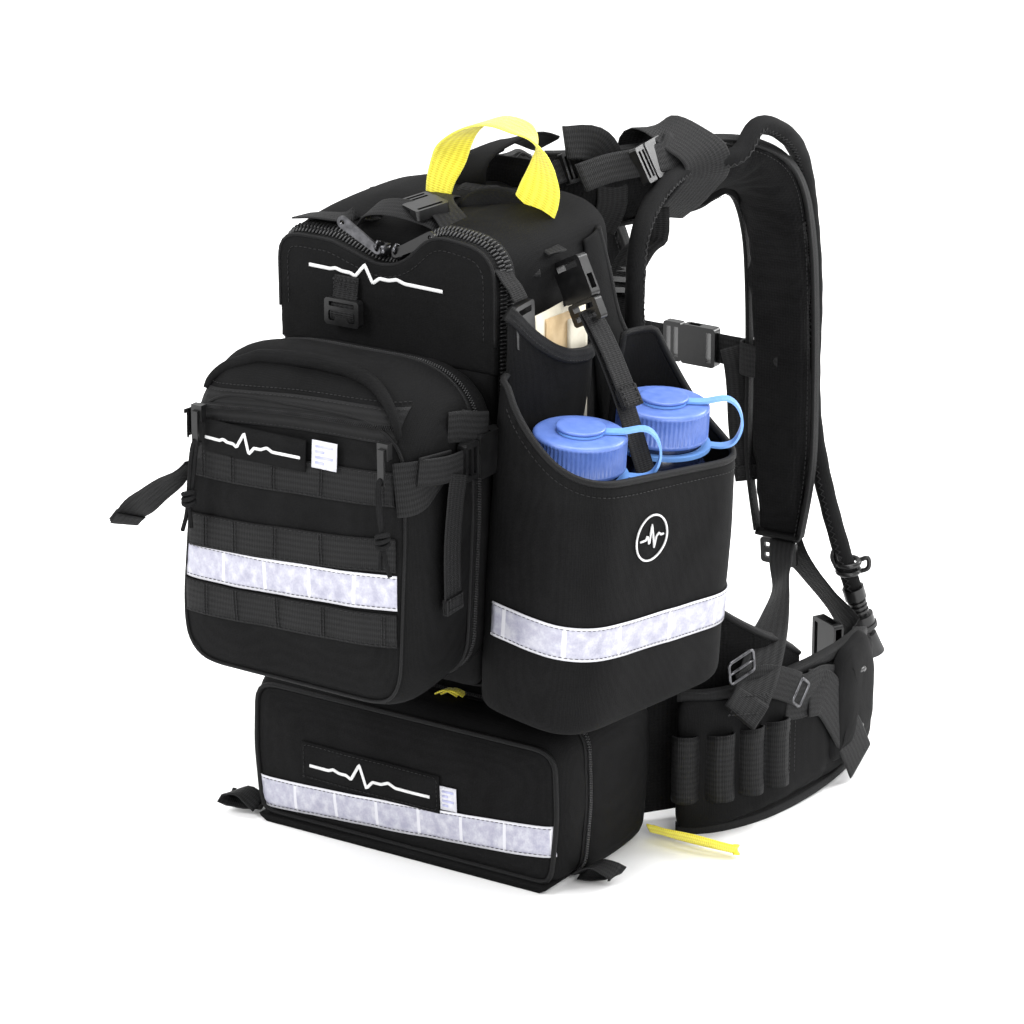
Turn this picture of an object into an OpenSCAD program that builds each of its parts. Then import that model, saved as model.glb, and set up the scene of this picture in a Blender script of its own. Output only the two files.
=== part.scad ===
// Trauma backpack: main compartment, detachable front pouch, lumbar pack, bottle holster,
// padded harness and hip belt. Millimetres, +Z up, the wearer's back at +Y, the origin at the
// centre of the face that the lumbar pack stands on.

/* [Main compartment] */
// Half width of the front panel at the zip
pack_half_w = 100; // [98:1:102]
// Half width at the bottom, where the sides taper in
pack_half_bottom = 82; // [80:1:83]
// Height of the underside above the ground
pack_bottom = 150; // [148:1:152]
// Height of the top
pack_top = 482; // [480:1:484]
// Front face
pack_front = -91; // [-92:0.5:-91]
// Back face
pack_back = 60; // [60:1:61]
// Height of the fold that the zipped front flap opens on
flap_fold = 408; // [406:1:409]
// Thickness of the padded cloth walls
wall = 4; // [3:0.5:5]

/* [Front pouch] */
// Half width of the pouch
pouch_half_w = 98; // [96:1:98]
// Underside of the pouch
pouch_bottom = 179; // [178:1:184]
// Depth at which the pouch's zip splits it
pouch_split = -118; // [-120:1:-116]
// Front face of the pouch
pouch_front_y = -205; // [-208:1:-200]

/* [Lumbar pack] */
// Half width of the lumbar pack
lumbar_half_w = 138; // [134:1:140]
// Height of the lumbar pack
lumbar_h = 122; // [116:1:124]
// Front face of the lumbar pack
lumbar_front_y = -78; // [-82:1:-76]
// Depth at which the lumbar pack's zip splits it
lumbar_split = -35; // [-38:1:-32]

/* [Bottles] */
// Radius of a one litre bottle
bottle_r = 44.5; // [43:0.5:44.5]
// Radius of the screw cap
cap_r = 34; // [33:0.5:34.5]
// Distance between the two bottles' axes
bottle_pitch = 93.2; // [93:0.1:94]
// How far the holster leans out from the pack, in degrees
holster_lean = 4.5; // [4:0.1:4.6]
// How far the holster is turned towards the wearer, in degrees
holster_turn = 8; // [7.8:0.1:8.2]

/* [Harness] */
// Width of the shoulder pads
pad_w = 62; // [58:1:64]
// Thickness of the shoulder pads
pad_t = 11; // [9:1:12]
// How much lower the left shoulder pad's arch sags
left_sag = 38; // [30:1:40]
// Width of the harness webbing
webbing_w = 25; // [24:0.5:26]
// Thickness of the webbing
webbing_t = 1.6; // [1.4:0.1:1.8]
// Diameter of the drinking hose in its sleeve
hose_d = 15; // [14:0.5:15]
// Height of the hip belt's wings
belt_h = 112; // [108:1:114]
// Thickness of the hip belt
belt_t = 14; // [12:1:14]

/* [Hidden] */
cloth = "#1b1b1d";
web = "#151516";
plastic = "#0c0c0d";
yellow = "#f4e233";
blue = "#6f9fe8";
gap = 0.3;

dip_x = 2;
dip_up = 60;
dip_r = 74;
pull_z = pack_top - 8;
pull_rise = 28;

pouch_top = 417;
pouch_back_y = -94;
pouch_back_top = 402;
lumbar_back = 60;
flap_seat = pack_front + 11;
pull_x = 8;
holster_origin = [152, -24, 260];
holster_floor = -112;
bottle_base = holster_floor + 3.8;
holster_r = 50;
cap_z = 184;
tether_angle = 33 + holster_turn;

compression_y = -134;
compression_z = 351;
sternum_y = 349;
sternum_z = 293;

// ---------- helpers ----------

function unit(v) = v / norm(v);

// Catmull-Rom point between p[i] and p[i + 1]
function between(p, i, u) =
    let (a = p[max(i - 1, 0)], b = p[i], c = p[min(i + 1, len(p) - 1)],
         d = p[min(i + 2, len(p) - 1)])
    0.5 * (2 * b + (c - a) * u + (2 * a - 5 * b + 4 * c - d) * u * u
        + (3 * b - a - 3 * c + d) * u * u * u);

// A list of points or vectors with k steps between neighbours
function smooth(p, k) = concat(
    [for (i = [0 : len(p) - 2]) for (s = [0 : k - 1]) between(p, i, s / k)], [p[len(p) - 1]]);

function tangent(p, i) = unit(p[min(i + 1, len(p) - 1)] - p[max(i - 1, 0)]);

function across(v, t) = unit(v - (v * t) * t);

// Closed solid through a list of rings that have the same number of points
module skin(rings) {
    n = len(rings);
    m = len(rings[0]);
    points = [for (r = rings) for (q = r) q];
    sides = [for (i = [0 : n - 2]) for (j = [0 : m - 1])
        each [[i * m + j, (i + 1) * m + j, i * m + (j + 1) % m],
            [i * m + (j + 1) % m, (i + 1) * m + j, (i + 1) * m + (j + 1) % m]]];
    caps = [[for (j = [0 : m - 1]) j], [for (j = [m - 1 : -1 : 0]) (n - 1) * m + j]];
    polyhedron(points, concat(sides, caps), convexity = 6);
}

// Flat band along p, with its width along wd; w may taper, one value for each point
module ribbon(p, wd, w, t) {
    skin([for (i = [0 : len(p) - 1])
        let (f = tangent(p, i), u = across(wd[i], f), v = cross(f, u),
             h = (is_list(w) ? w[i] : w) / 2)
        [p[i] + h * u + t / 2 * v, p[i] - h * u + t / 2 * v,
         p[i] - h * u - t / 2 * v, p[i] + h * u - t / 2 * v]]);
}

// Round bar along p
module bar(p, d, sides = 10) {
    skin([for (i = [0 : len(p) - 1])
        let (f = tangent(p, i), u = across([0.3, 0.2, 1] + (abs(f.z) > 0.8 ? [2, 0, -1] : [0, 0, 0]), f),
             v = cross(f, u))
        [for (k = [0 : sides - 1]) p[i] + d / 2 * (cos(360 * k / sides) * u + sin(360 * k / sides) * v)]]);
}

// 2D outline drawn in X and Z, pushed from y0 to y1
module along_y(y0, y1) translate([0, y1, 0]) rotate([90, 0, 0]) linear_extrude(y1 - y0) children();

// 2D outline drawn in Y and Z, pushed from x0 to x1
module along_x(x0, x1) translate([x0, 0, 0]) rotate([90, 0, 90]) linear_extrude(x1 - x0) children();

module box(a, b) translate(a) cube(b - a);

// Rounded rectangle from corner a to corner b
module round_rect(a, b, r) {
    translate([a.x + r, a.y]) square([b.x - a.x - 2 * r, b.y - a.y]);
    translate([a.x, a.y + r]) square([b.x - a.x, b.y - a.y - 2 * r]);
    for (x = [a.x + r, b.x - r]) for (y = [a.y + r, b.y - r]) translate([x, y]) circle(r, $fn = 32);
}

module both_sides() {
    children();
    mirror([1, 0, 0]) children();
}

module in_holster() translate(holster_origin) rotate([0, 0, -holster_turn])
    rotate([0, holster_lean, 0]) children();

// ---------- main compartment ----------

// Shallow dip in the front panel's top edge, where the two zip sliders meet
module zip_dip(inset = 0) translate([dip_x, pack_top + dip_up]) circle(dip_r + inset, $fn = 96);

module pack_outline(inset = 0) difference() {
    plain_outline(inset);
    zip_dip(inset);
}

module plain_outline(inset = 0) {
    r = 45 - inset;
    shoulder = pack_top - 45;
    polygon([[-pack_half_bottom + inset, pack_bottom + inset],
        [pack_half_bottom - inset, pack_bottom + inset],
        [pack_half_w - inset, 390], [pack_half_w - inset, shoulder],
        [-pack_half_w + inset, shoulder], [-pack_half_w + inset, 390]]);
    for (x = [-1, 1]) translate([x * (pack_half_w - 45), shoulder]) circle(r, $fn = 48);
    translate([-pack_half_w + 45, shoulder - 1]) square([2 * pack_half_w - 90, r + 1]);
}

module main_shell() color(cloth) difference() {
    along_y(pack_front, pack_back) plain_outline();
    along_y(pack_front + 5, pack_back - wall) pack_outline(wall);
    along_y(pack_front - 1, flap_seat + 7) zip_dip();
    translate([dip_x, flap_seat + 7, pack_top + dip_up]) rotate([-76, 0, 0]) cylinder(r = dip_r, h =
        80, $fn = 96);
    along_y(pack_front - 1, pack_front + 6) intersection() {
        pack_outline(12);
        translate([-200, flap_fold - 0.5]) square([400, 200]);
    }
    box([-200, pack_front - 1, flap_fold - 0.5], [200, flap_seat, 600]);
    translate([100, hose_line[0].y + 3, hose_line[0].z + 4]) rotate([0, 90, 0]) cylinder(r =
        hose_d / 2 + 5, h = 60, center = true);
}

module frame_sheet() color("#3a3a3c") along_y(49.5, 52) round_rect([-70, 162], [70, 438], 14);

module frame_stays() color("silver") for (x = [-42, 42])
    along_y(52.3, 55.5) round_rect([x - 8, 168], [x + 8, 432], 7);

module reservoir() color("#9fb4c4") along_y(22, 46) round_rect([-66, 166], [66, 400], 22);

module back_pad() color(cloth) difference() {
    along_y(pack_back + gap, pack_back + 15) round_rect([-66, 138], [66, 432], 20);
    for (z = [205, 265, 325, 385]) box([-58, pack_back + 11, z - 4], [58, pack_back + 16, z + 4]);
}

module side_pocket() color(cloth) difference() {
    linear_extrude(440) polygon([[102.4, -60], [106, -60], [114, -10], [114, 14], [102.4, 14]]);
    translate([0, 0, 321]) linear_extrude(200)
        polygon([[103, -58], [104.8, -58], [112, -10], [112, 12], [103, 12]]);
    box([90, -100, -1], [130, 30, 318]);
    along_x(90, 130) polygon([[-90, 440], [-84, 430], [-40, 408], [20, 404], [20, 500], [-90, 500]]);
}

module notebook() color("#e8dcc0") box([103.2, -57, 321.5], [104.8, -32, 434]);

module left_pocket() color(cloth) difference() {
    box([-114, -70, 210], [-100.4, 40, 380]);
    box([-112, -67, 213], [-102.4, 37, 400]);
}

// ---------- zips ----------

module main_zip() color(plastic) {
    main_sliders();
    along_y(flap_seat + gap, flap_seat + 6) difference() {
        pack_outline(-1.6);
        pack_outline(-0.1);
        translate([-200, 0]) square([400, flap_fold - 20]);
    }
}

module main_sliders() for (x = [-pull_x, pull_x]) translate([x, pack_front + 3, pull_z]) {
    box([-5, 2, -4.2], [5, 12, 3]);
    rotate([90, 0, 0]) cylinder(r = 1.32, h = 8, center = true, $fn = 24);
}

module main_flap() color(cloth) intersection() {
    along_y(pack_front, flap_seat - gap) pack_outline();
    box([-200, -200, flap_fold + 0.5], [200, 0, 600]);
}

module flap_tab() color(web) box([-44, pack_front - 2.3, 428], [-20, pack_front - 0.3, 452]);

module flap_buckle() color(plastic) difference() {
    along_y(pack_front - 9, pack_front - 2.6) round_rect([-47, 416], [-17, 436], 3);
    along_y(pack_front - 10, pack_front - 2) round_rect([-43, 430], [-21, 433.5], 1);
    along_y(pack_front - 10, pack_front - 2) for (x = [-40.5, -23.5]) round_rect([x - 3, 419], [x + 3,
        427], 2);
}

// Zip slider body with a hinged pull, drawn pointing along -X from the pivot at the origin
module zip_pull(len) {
    difference() {
        hull() {
            rotate([90, 0, 0]) cylinder(r = 3.2, h = 2, center = true, $fn = 24);
            translate([-len, 0, 0]) rotate([90, 0, 0]) cylinder(r = 4.5, h = 2, center = true, $fn = 24);
        }
        translate([-len, 0, 0]) rotate([90, 0, 0]) cylinder(r = 2, h = 6, center = true, $fn = 24);
        rotate([90, 0, 0]) cylinder(r = 1.4, h = 6, center = true, $fn = 24);
    }
}

module main_pull_left() color("#77787c") translate([-pull_x, pack_front + 3, pull_z])
    rotate([0, pull_rise, 0]) zip_pull(34);

module main_pull_right() color(plastic) translate([pull_x, pack_front + 3, pull_z])
    rotate([0, 180 - pull_rise, 0]) zip_pull(34);

// ---------- front pouch ----------

module pouch_outline(inset = 0) round_rect([-pouch_half_w + inset, pouch_bottom + inset],
    [pouch_half_w - inset, pouch_top + 10 - inset], 32 - inset);

// Side view of the pouch's front half
module pouch_side(inset = 0) polygon([[pouch_split, pouch_bottom + inset],
    [pouch_front_y + 14, pouch_bottom + inset], [pouch_front_y + inset, pouch_bottom + 14],
    [pouch_front_y + inset, 384 - inset / 2], [pouch_front_y + 42, pouch_top - inset],
    [pouch_split - 20, pouch_top - 4 - inset], [pouch_split, 406 - inset]]);

module pouch_front() color(cloth) difference() {
    intersection() {
        along_x(-pouch_half_w, pouch_half_w) pouch_side();
        along_y(pouch_front_y - 1, pouch_split) pouch_outline();
    }
    intersection() {
        union() {
            along_x(-pouch_half_w, pouch_half_w) pouch_side(wall);
            along_x(-80, 80) polygon([[pouch_split - 2, 200], [pouch_split + 1, 200],
                [pouch_split + 1, 396], [pouch_split - 2, 396]]);
        }
        along_y(pouch_front_y, pouch_split + 1) pouch_outline(wall);
    }
}

module pouch_back() color(cloth) difference() {
    intersection() {
        along_y(pouch_split + gap, pouch_back_y) pouch_outline();
        box([-200, -200, 0], [200, 0, pouch_back_top]);
    }
    intersection() {
        along_y(pouch_split - 1, pouch_back_y - wall) pouch_outline(wall);
        box([-200, -200, 0], [200, 0, pouch_back_top - wall]);
    }
}

// Rows of webbing sewn down every 38 mm, so that gear can be laced on
module pouch_webbing() color(web) for (z = [337, 292, 236]) difference() {
    box([-92, pouch_front_y - 3, z - 12.5], [92, pouch_front_y - gap, z + 12.5]);
    for (k = [-2 : 1]) box([38 * k + 3, pouch_front_y - 1.4, z - 13], [38 * k + 34, pouch_front_y,
        z + 13]);
}

module pouch_tape() color("white") box([-92, pouch_front_y - 1.8, 251], [92, pouch_front_y - gap, 277]);

module compression_straps() color(web) both_sides() {
    translate([pouch_half_w, 0, compression_z]) {
        box([gap, -198, -10], [1.9, compression_y - 12, 10]);
        box([1.9, -172, -105], [3.5, -152, 10]);
    }
}

module pouch_slider_left() color(plastic) pouch_slider(-1);

module pouch_slider_right() color(plastic) pouch_slider(1);

// Slider of the pouch's front pocket zip; s is the side that it parks on
module pouch_slider(s) translate([s * 80, pouch_front_y - 4.4, 372]) {
    box([-4.5, -2, -6], [4.5, 3.8, 6]);
    difference() {
        box([-2.6, -4.5, -24], [2.6, -2.3, 2]);
        translate([0, -3, -20]) rotate([90, 0, 0]) cylinder(r = 1.9, h = 6, center = true);
    }
}

// Cord pull: a doubled cord, the knot that joins it and its tail
module pull_cord(s) translate([s * 80, pouch_front_y - 7.8, 372]) {
    bar(smooth([[0, 0.9, -20], [0, -2, -22], [1.5 * s, -3.2, -30], [3 * s, -3.4, -44],
        [4 * s, -3.4, -58]], 3), 5.6, 8);
    translate([4 * s, -3.4, -62.5]) cylinder(r = 4.6, h = 9, center = true, $fn = 20);
    bar(smooth([[4 * s, -3.4, -67], [6 * s, -3.4, -76], [9 * s, -3.4, -86]], 3), 3, 8);
}

module pull_cord_left() color(web) pull_cord(-1);

module pull_cord_right() color(web) pull_cord(1);

// ---------- buckles ----------

// Socket half: mouth at x = 0, body along +X, for webbing of width w
module buckle_socket(w = 25, room = 0) {
    h = w / 2 + 4;
    difference() {
        translate([0, 0, -4.6]) linear_extrude(9.2) round_rect([0, -h - room], [32, h + room], 3);
        box([-1, -h + 3.2 - room, -2.8], [19, h - 3.2 + room, 2.8]);
        for (s = [-1, 1]) translate([11, s * (h + room), 0]) scale([1, 0.5, 1]) cube([11, 16, 5.6],
            center = true);
        box([24, -w / 2, -6], [28.5, w / 2, 6]);
    }
}

// Plug half: ladder behind x = 0, two prongs along +X
module buckle_plug(w = 25) {
    h = w / 2 + 4;
    difference() {
        translate([0, 0, -3.6]) linear_extrude(7.2) round_rect([-17, -h], [-gap, h], 2.5);
        for (x = [-14, -7]) box([x, -w / 2, -6], [x + 4, w / 2, 6]);
    }
    for (s = [-1, 1]) translate([0, 0, -2.3]) linear_extrude(4.6)
        polygon([[-1, s * (h - 7.4)], [-1, s * (h - 4.2)], [7, s * (h - 3.7)], [14, s * (h - 3.7)],
            [17, s * (h - 6)], [15, s * (h - 8)], [8, s * (h - 6.6)]]);
    box([-1, -1.6, -2], [13, 1.6, 2]);
}

module compression_buckle() translate([pouch_half_w + 7.6, compression_y, compression_z]) rotate([0,
    0, 90]) rotate([90, 0, 0]) children();

// Direction and start of the strap that holds the bottles, in the plane between them
retention_start = [-43, 0, 178];
retention_angle = 58;

module on_retention() in_holster() translate(retention_start) rotate([0, retention_angle, 0])
    rotate([90, 0, 0]) rotate([0, 0, 180]) children();

module buckle_sockets() color(plastic) {
    both_sides() compression_buckle() buckle_socket(20, 2);
    on_retention() buckle_socket(20);
}

module compression_plugs() color(plastic) both_sides() compression_buckle() buckle_plug(20);

module retention_plug() color(plastic) on_retention() buckle_plug(20);

module hanging_buckle() color(plastic) translate([109.5, -80, 452]) rotate([0, 90, 0]) rotate([0, 0, 4])
    translate([32.5, 0, 0]) mirror([1, 0, 0]) scale([1, 1, 0.62]) buckle_socket(16);

// ---------- lumbar pack ----------

module lumbar_outline(inset = 0) round_rect([-lumbar_half_w + inset, inset], [lumbar_half_w - inset,
    lumbar_h - inset], 16 - inset);

module lumbar_shell() color(cloth) difference() {
    union() {
        along_y(lumbar_split + gap, lumbar_back) lumbar_outline();
        box([-lumbar_half_w + 16, lumbar_front_y + 2, 0], [lumbar_half_w - 16, lumbar_split + 2, 5]);
    }
    along_y(lumbar_split - 1, lumbar_back - wall) lumbar_outline(wall + 1);
}

module lumbar_front() color(cloth) difference() {
    intersection() {
        along_y(lumbar_front_y, lumbar_split) lumbar_outline();
        along_x(-200, 200) polygon([[lumbar_front_y, 5.6], [lumbar_split, 5.6], [lumbar_split, 200],
            [lumbar_front_y + 16, 200], [lumbar_front_y + 14, lumbar_h], [lumbar_front_y,
                lumbar_h - 12]]);
    }
    intersection() {
        along_y(lumbar_front_y + wall, lumbar_split + 1) lumbar_outline(wall);
        along_x(-200, 200) polygon([[lumbar_front_y + wall, 9.6], [0, 9.6], [0, lumbar_h - wall],
            [lumbar_front_y + 15, lumbar_h - wall], [lumbar_front_y + wall, lumbar_h - 14]]);
    }
}

module lumbar_tape() color("white") box([-124, lumbar_front_y - 1.8, 30], [132, lumbar_front_y - gap,
    56]);

module release_loop() color(yellow) ribbon(smooth([[143, 52, 9], [158, 50, 10], [182, 50, 11], [204,
    53, 9], [213, 57, 7],
    [206, 59, 5.5], [184, 58, 5.5], [160, 57, 6], [143, 57, 7]], 3), [for (i = [0 : 24]) [0, -0.5,
        0.85]], 9, 1.5);

// ---------- holster and bottles ----------

module holster_plan(inset = 0) {
    r = holster_r - inset;
    for (s = [-1, 1]) translate([0, s * bottle_pitch / 2]) circle(r, $fn = 64);
    translate([-r, -bottle_pitch / 2]) square([2 * r, bottle_pitch]);
}

module bottle_holster() color(cloth) in_holster() difference() {
    translate([0, 0, holster_floor]) linear_extrude(250) holster_plan();
    translate([0, 0, holster_floor + 3.5]) linear_extrude(300) holster_plan(4);
    translate([64, 0, 184]) rotate([83, 0, 0]) cylinder(r = 112, h = 300, center = true, $fn = 96);
    box([-60, -72, 46], [-26, 52, 200]);
}

module holster_tape() color("white") in_holster() difference() {
    translate([0, 0, -58]) linear_extrude(26) holster_plan(-1.8);
    translate([0, 0, -60]) linear_extrude(30) holster_plan(-gap);
    translate([-80, -200, -70]) cube([60, 400, 80]);
}

// s picks the bottle: -1 at the front, 1 at the rear
module at_bottle(s) in_holster() translate([0, s * bottle_pitch / 2, bottle_base]) children();

module bottle_solid() rotate_extrude($fn = 72) polygon([[0, 0], [bottle_r - 5, 0], [bottle_r, 5],
    [bottle_r, 140],
    [bottle_r - 4, 154], [31, 168], [29, 174], [29, 206], [0, 206]]);

module cap_solid() {
    difference() {
        translate([0, 0, cap_z]) cylinder(r = cap_r, h = 26, $fn = 72);
        translate([0, 0, cap_z - 1]) cylinder(r = 29.08, h = 24, $fn = 72);
    }
    translate([0, 0, cap_z + 25]) cylinder(r = 8, h = 5, $fn = 48);
    translate([0, 0, cap_z + 28.4]) cylinder(r = 18, h = 2.6, $fn = 48);
}

module tether_solid() {
    for (ring = [[177, 30, 36.5, 3], [cap_z + 26.3, 9, 17, 1.7]]) translate([0, 0, ring[0]])
        difference() {
        cylinder(r = ring[2], h = ring[3], $fn = 64);
        translate([0, 0, -1]) cylinder(r = ring[1], h = ring[3] + 2, $fn = 64);
    }
    rotate([0, 0, tether_angle]) ribbon(smooth([[16.4, 0, cap_z + 27.2], [30, 0, cap_z + 28], [45, 0,
        cap_z + 31],
        [54, 0, cap_z + 25], [58, 0, cap_z + 12], [54, 0, cap_z - 1], [46, 0, 178.5], [35.8, 0,
            178.5]], 4),
        [for (i = [0 : 28]) [0, 1, 0]], 9, 1.7);
}

module bottle_front() color("#22305c") at_bottle(-1) bottle_solid();

module bottle_rear() color("#22305c") at_bottle(1) bottle_solid();

module cap_front() color(blue) at_bottle(-1) cap_solid();

module cap_rear() color(blue) at_bottle(1) cap_solid();

module tether_front() color(blue) at_bottle(-1) tether_solid();

module tether_rear() color(blue) at_bottle(1) tether_solid();

// ---------- harness ----------

// Centre line of a shoulder pad, from the yoke over the shoulder and down the chest
pad_line = [[14, 89, 482], [48, 122, 480], [80, 204, 478], [91, 256, 471], [91, 298, 448], [88, 324, 405],
    [85, 337, 350], [85, 340, 280], [85, 340, 210], [85, 340, 148]];
// Direction of its width at the same points
pad_width = [[0, 0, 1], [0.1, 0, 1], [0.3, 0, 1], [0.75, 0, 0.8], [1, 0, 0.35], [1, 0, 0.05],
    [1, 0, 0], [1, 0, 0], [1, 0, 0], [1, 0, 0]];
// How much of the sag each point of the left pad takes
pad_sag = [0, 0.5, 1, 1, 0.8, 0.4, 0.1, 0, 0, 0];
pad_widths = [56, 60, 62, 62, 62, 62, 62, 62, 60, 40];

function pad_route(sag) = [for (i = [0 : len(pad_line) - 1]) pad_line[i] - [0, 0, sag * pad_sag[i]]];

module shoulder_pad(sag) ribbon(smooth(pad_route(sag), 3), smooth(pad_width, 3),
    [for (w = smooth(pad_widths, 3)) w * pad_w / pad_widths[5]], pad_t);

module shoulder_pad_right() color(cloth) shoulder_pad(0);

module shoulder_pad_left() color(cloth) mirror([1, 0, 0]) shoulder_pad(left_sag);

module yoke_pad() color(cloth) along_y(pack_back + gap, pack_back + 13) round_rect([-44, 437], [44,
    512], 12);

// Webbing of one side: load lifter, lower strap and the tail of the adjuster
module side_webbing() {
    ribbon(smooth([[76, 152, 440], [77, 130, 434], [78, 108, 417], [79, 84, 375], [80, 65, 332]], 3),
        [for (i = [0 : 12]) [0.9, 0.4, 0]], webbing_w, webbing_t);
    ribbon(smooth([[86, 341, 140], [94, 318, 132], [104, 280, 112], [112, 240, 84], [116, 212, 52]], 3),
        smooth([[1, 0, 0], [0.6, 0.5, 0], [0.3, 0.8, 0.5], [0.2, 0.6, 0.8], [0.2, 0.5, 0.8]], 3),
            webbing_w, webbing_t);
}

module harness_webbing() color(web) {
    both_sides() side_webbing();
}

module ladder_lock(w = 25) linear_extrude(3, center = true) difference() {
    round_rect([-w / 2 - 4, -11], [w / 2 + 4, 11], 3);
    for (y = [-6.5, 2.5]) translate([-w / 2, y]) square([w, 4.5]);
}

module strap_adjusters() color(plastic) {
    both_sides() {
        translate([78, 108, 417]) rotate([45, 0, 22]) ladder_lock();
        translate([85, 341, 134]) rotate([96, 0, 0]) ladder_lock();
    }
    for (x = [-44, 46]) translate([x, -34, pack_top + 5]) rotate([4, 0, 12]) ladder_lock(20);
}

hose_line = [[80, 52, 262], [92, 54, 265], [105, 64, 282], [108, 78, 308], [105, 86, 345], [101, 88, 388],
    [100, 89, 420], [98, 98, 456], [94, 130, 481], [94, 176, 493], [111, 216, 494], [114, 243, 512],
    [119, 278, 498], [113, 314, 467], [106, 342, 411], [104, 354, 351], [103, 355, 290], [105, 356, 245],
    [112, 358, 205], [121, 360, 170], [130, 365, 135], [136, 373, 104]];

module hydration_hose() color("#1f2026") bar(smooth(hose_line, 3), hose_d, 12);

valve_at = [136, 373, 104];
valve_dir = unit([6, 8, -31]);

// Turns +Z to point along the valve, out of the hose
module at_valve() translate(valve_at) rotate([0, acos(valve_dir.z), atan2(valve_dir.y, valve_dir.x)])
    children();

module valve_body() color(plastic) at_valve() difference() {
    union() {
        translate([0, 0, 0.3]) cylinder(r = 9, h = 10, $fn = 48);
        for (k = [0 : 2]) translate([0, 0, 13 + 4 * k]) cylinder(r = 7.6, h = 2, $fn = 48);
        translate([0, 0, 5]) cylinder(r = 6, h = 24, $fn = 48);
        translate([0, 0, 26]) cylinder(r = 10, h = 8, $fn = 48);
        translate([0, 0, 30]) cylinder(r = 5, h = 26, $fn = 48);
    }
    translate([0, 0, 40]) cylinder(r = 2.4, h = 40, $fn = 32);
}

module valve_lever() color(plastic) at_valve() {
    difference() {
        translate([0, 0, 34.4]) cylinder(r = 11, h = 3.4, $fn = 48);
        translate([0, 0, 34]) cylinder(r = 5.3, h = 6, $fn = 48);
    }
    box([10.4, -4, 29], [16, 4, 37.8]);
}

module dust_cap() color(plastic) at_valve() difference() {
    translate([0, 0, 44]) cylinder(r1 = 8, r2 = 10.5, h = 18, $fn = 48);
    translate([0, 0, 43]) cylinder(r = 5.3, h = 13.6, $fn = 48);
}

module sternum_webbing() color(web) {
    box([-78, sternum_y - 1, sternum_z - 12.5], [-50, sternum_y + 0.6, sternum_z + 12.5]);
    box([20.3, sternum_y - 1, sternum_z - 12.5], [78, sternum_y + 0.6, sternum_z + 12.5]);
    ribbon(smooth([[40, sternum_y, sternum_z - 14], [44, sternum_y, sternum_z - 30], [46, sternum_y,
        sternum_z - 62],
        [49, sternum_y, sternum_z - 108]], 3), [for (i = [0 : 9]) [0.15, 1, 0]], 20, webbing_t);
}

module at_sternum() translate([-12, sternum_y - 0.2, sternum_z]) rotate([90, 0, 0]) children();

module sternum_socket() color(plastic) at_sternum() buckle_socket();

module sternum_plug() color(plastic) at_sternum() buckle_plug();

// ---------- hip belt ----------

module belt_center() color(cloth) along_y(pack_back + gap, pack_back + 15) round_rect([-132, 2], [132,
    134], 24);

wing_line = [[146, 74, 0], [170, 92, 0], [188, 130, 0], [197, 180, 0], [198, 235, 0], [190, 285, 0],
    [170, 322, 0]];
wing_heights = [1, 1, 1, 0.98, 0.94, 0.86, 0.6];

module belt_wing() translate([0, 0, belt_h / 2 + 1]) ribbon(smooth(wing_line, 3), [for (i =
    [0 : 18]) [0, 0, 1]],
    [for (w = smooth(wing_heights, 3)) w * belt_h], belt_t);

module belt_wing_right() color(cloth) belt_wing();

module belt_wing_left() color(cloth) mirror([1, 0, 0]) belt_wing();

// Elastic loops along the outside of the right wing, and the pull strap's free tail
module belt_webbing_right() color(web) {
    for (p = [[158.3, 71.5, -57.4], [179.1, 90.2, -32.3], [191.2, 113.3, -21.7], [198.8, 137.7, -14.3]])
        translate([p.x, p.y, 30]) rotate([0, 0, p.z]) difference() {
            translate([0.4, 0, 0]) scale([0.75, 1, 1]) cylinder(r = 12, h = 52, $fn = 32);
            translate([0.4, 0, -1]) scale([0.75, 1, 1]) cylinder(r = 10.4, h = 54, $fn = 32);
            translate([-12.6, -20, -1]) cube([8, 40, 54]);
        }
    ribbon(smooth([[208.5, 196, 88], [209, 214, 70], [210, 238, 34], [211, 252, 10]], 3),
        [for (i = [0 : 9]) [0, 1, 0.6]], 36, webbing_t);
}

module belt_socket() color(plastic) translate([146, 333, 62]) rotate([0, 0, 152]) rotate([90, 0, 0])
    buckle_socket(38);

module belt_plug() color(plastic) mirror([1, 0, 0]) translate([150, 336, 62]) rotate([0, 0, 152])
    rotate([90, 0, 0])
    mirror([1, 0, 0]) buckle_plug(38);

// ---------- handle and webbing on the pack ----------

module grab_handle() color(yellow) ribbon(smooth([[-17, 0, 487], [-10, 0, 513], [6, 0, 541], [31, 0, 555],
    [56, 0, 553], [72, 0, 538], [74, 0, 512], [64, 0, 487]], 4), smooth([[1, 0, 0], [1, 0.2, 0], [0.4,
        1, 0],
    [0, 1, 0], [-0.2, 1, 0], [-1, 0.9, 0], [-1, 0.2, 0], [-1, 0, 0]], 4), smooth([22, 24, 28, 32, 34,
        36, 36, 32], 4), 1.8);

module pack_webbing() color(web) {
    in_holster() translate(retention_start) rotate([0, retention_angle, 0])
        box([38, -0.8, -10], [142, 0.8, 10]);
    // Loops that carry the sockets of the retention and compression buckles
    ribbon(smooth([[103, -21, 473], [97, -21, 473], [89, -20, 469]], 3), [for (i = [0 : 6]) [0, 1,
        0]], 20, webbing_t);
    both_sides() ribbon(smooth([[105, -107, 351], [103.5, -98, 351], [100.5, -90, 351], [98.6, -80,
        351]], 3),
        [for (i = [0 : 9]) [0, 0, 1]], 20, webbing_t);
}

// Panel that braces the holster's rear edge against the pack
module side_wing() color(cloth) skin([for (p = [[100.5, 34, 470], [101, 46, 430], [102, 56, 390],
    [106, 68, 350]])
    [[p.x, p.y, p.z], [p.x, 15.5, p.z - 6], [p.x + 1.8, 15.5, p.z - 6], [p.x + 1.8, p.y, p.z]]]);

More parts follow.
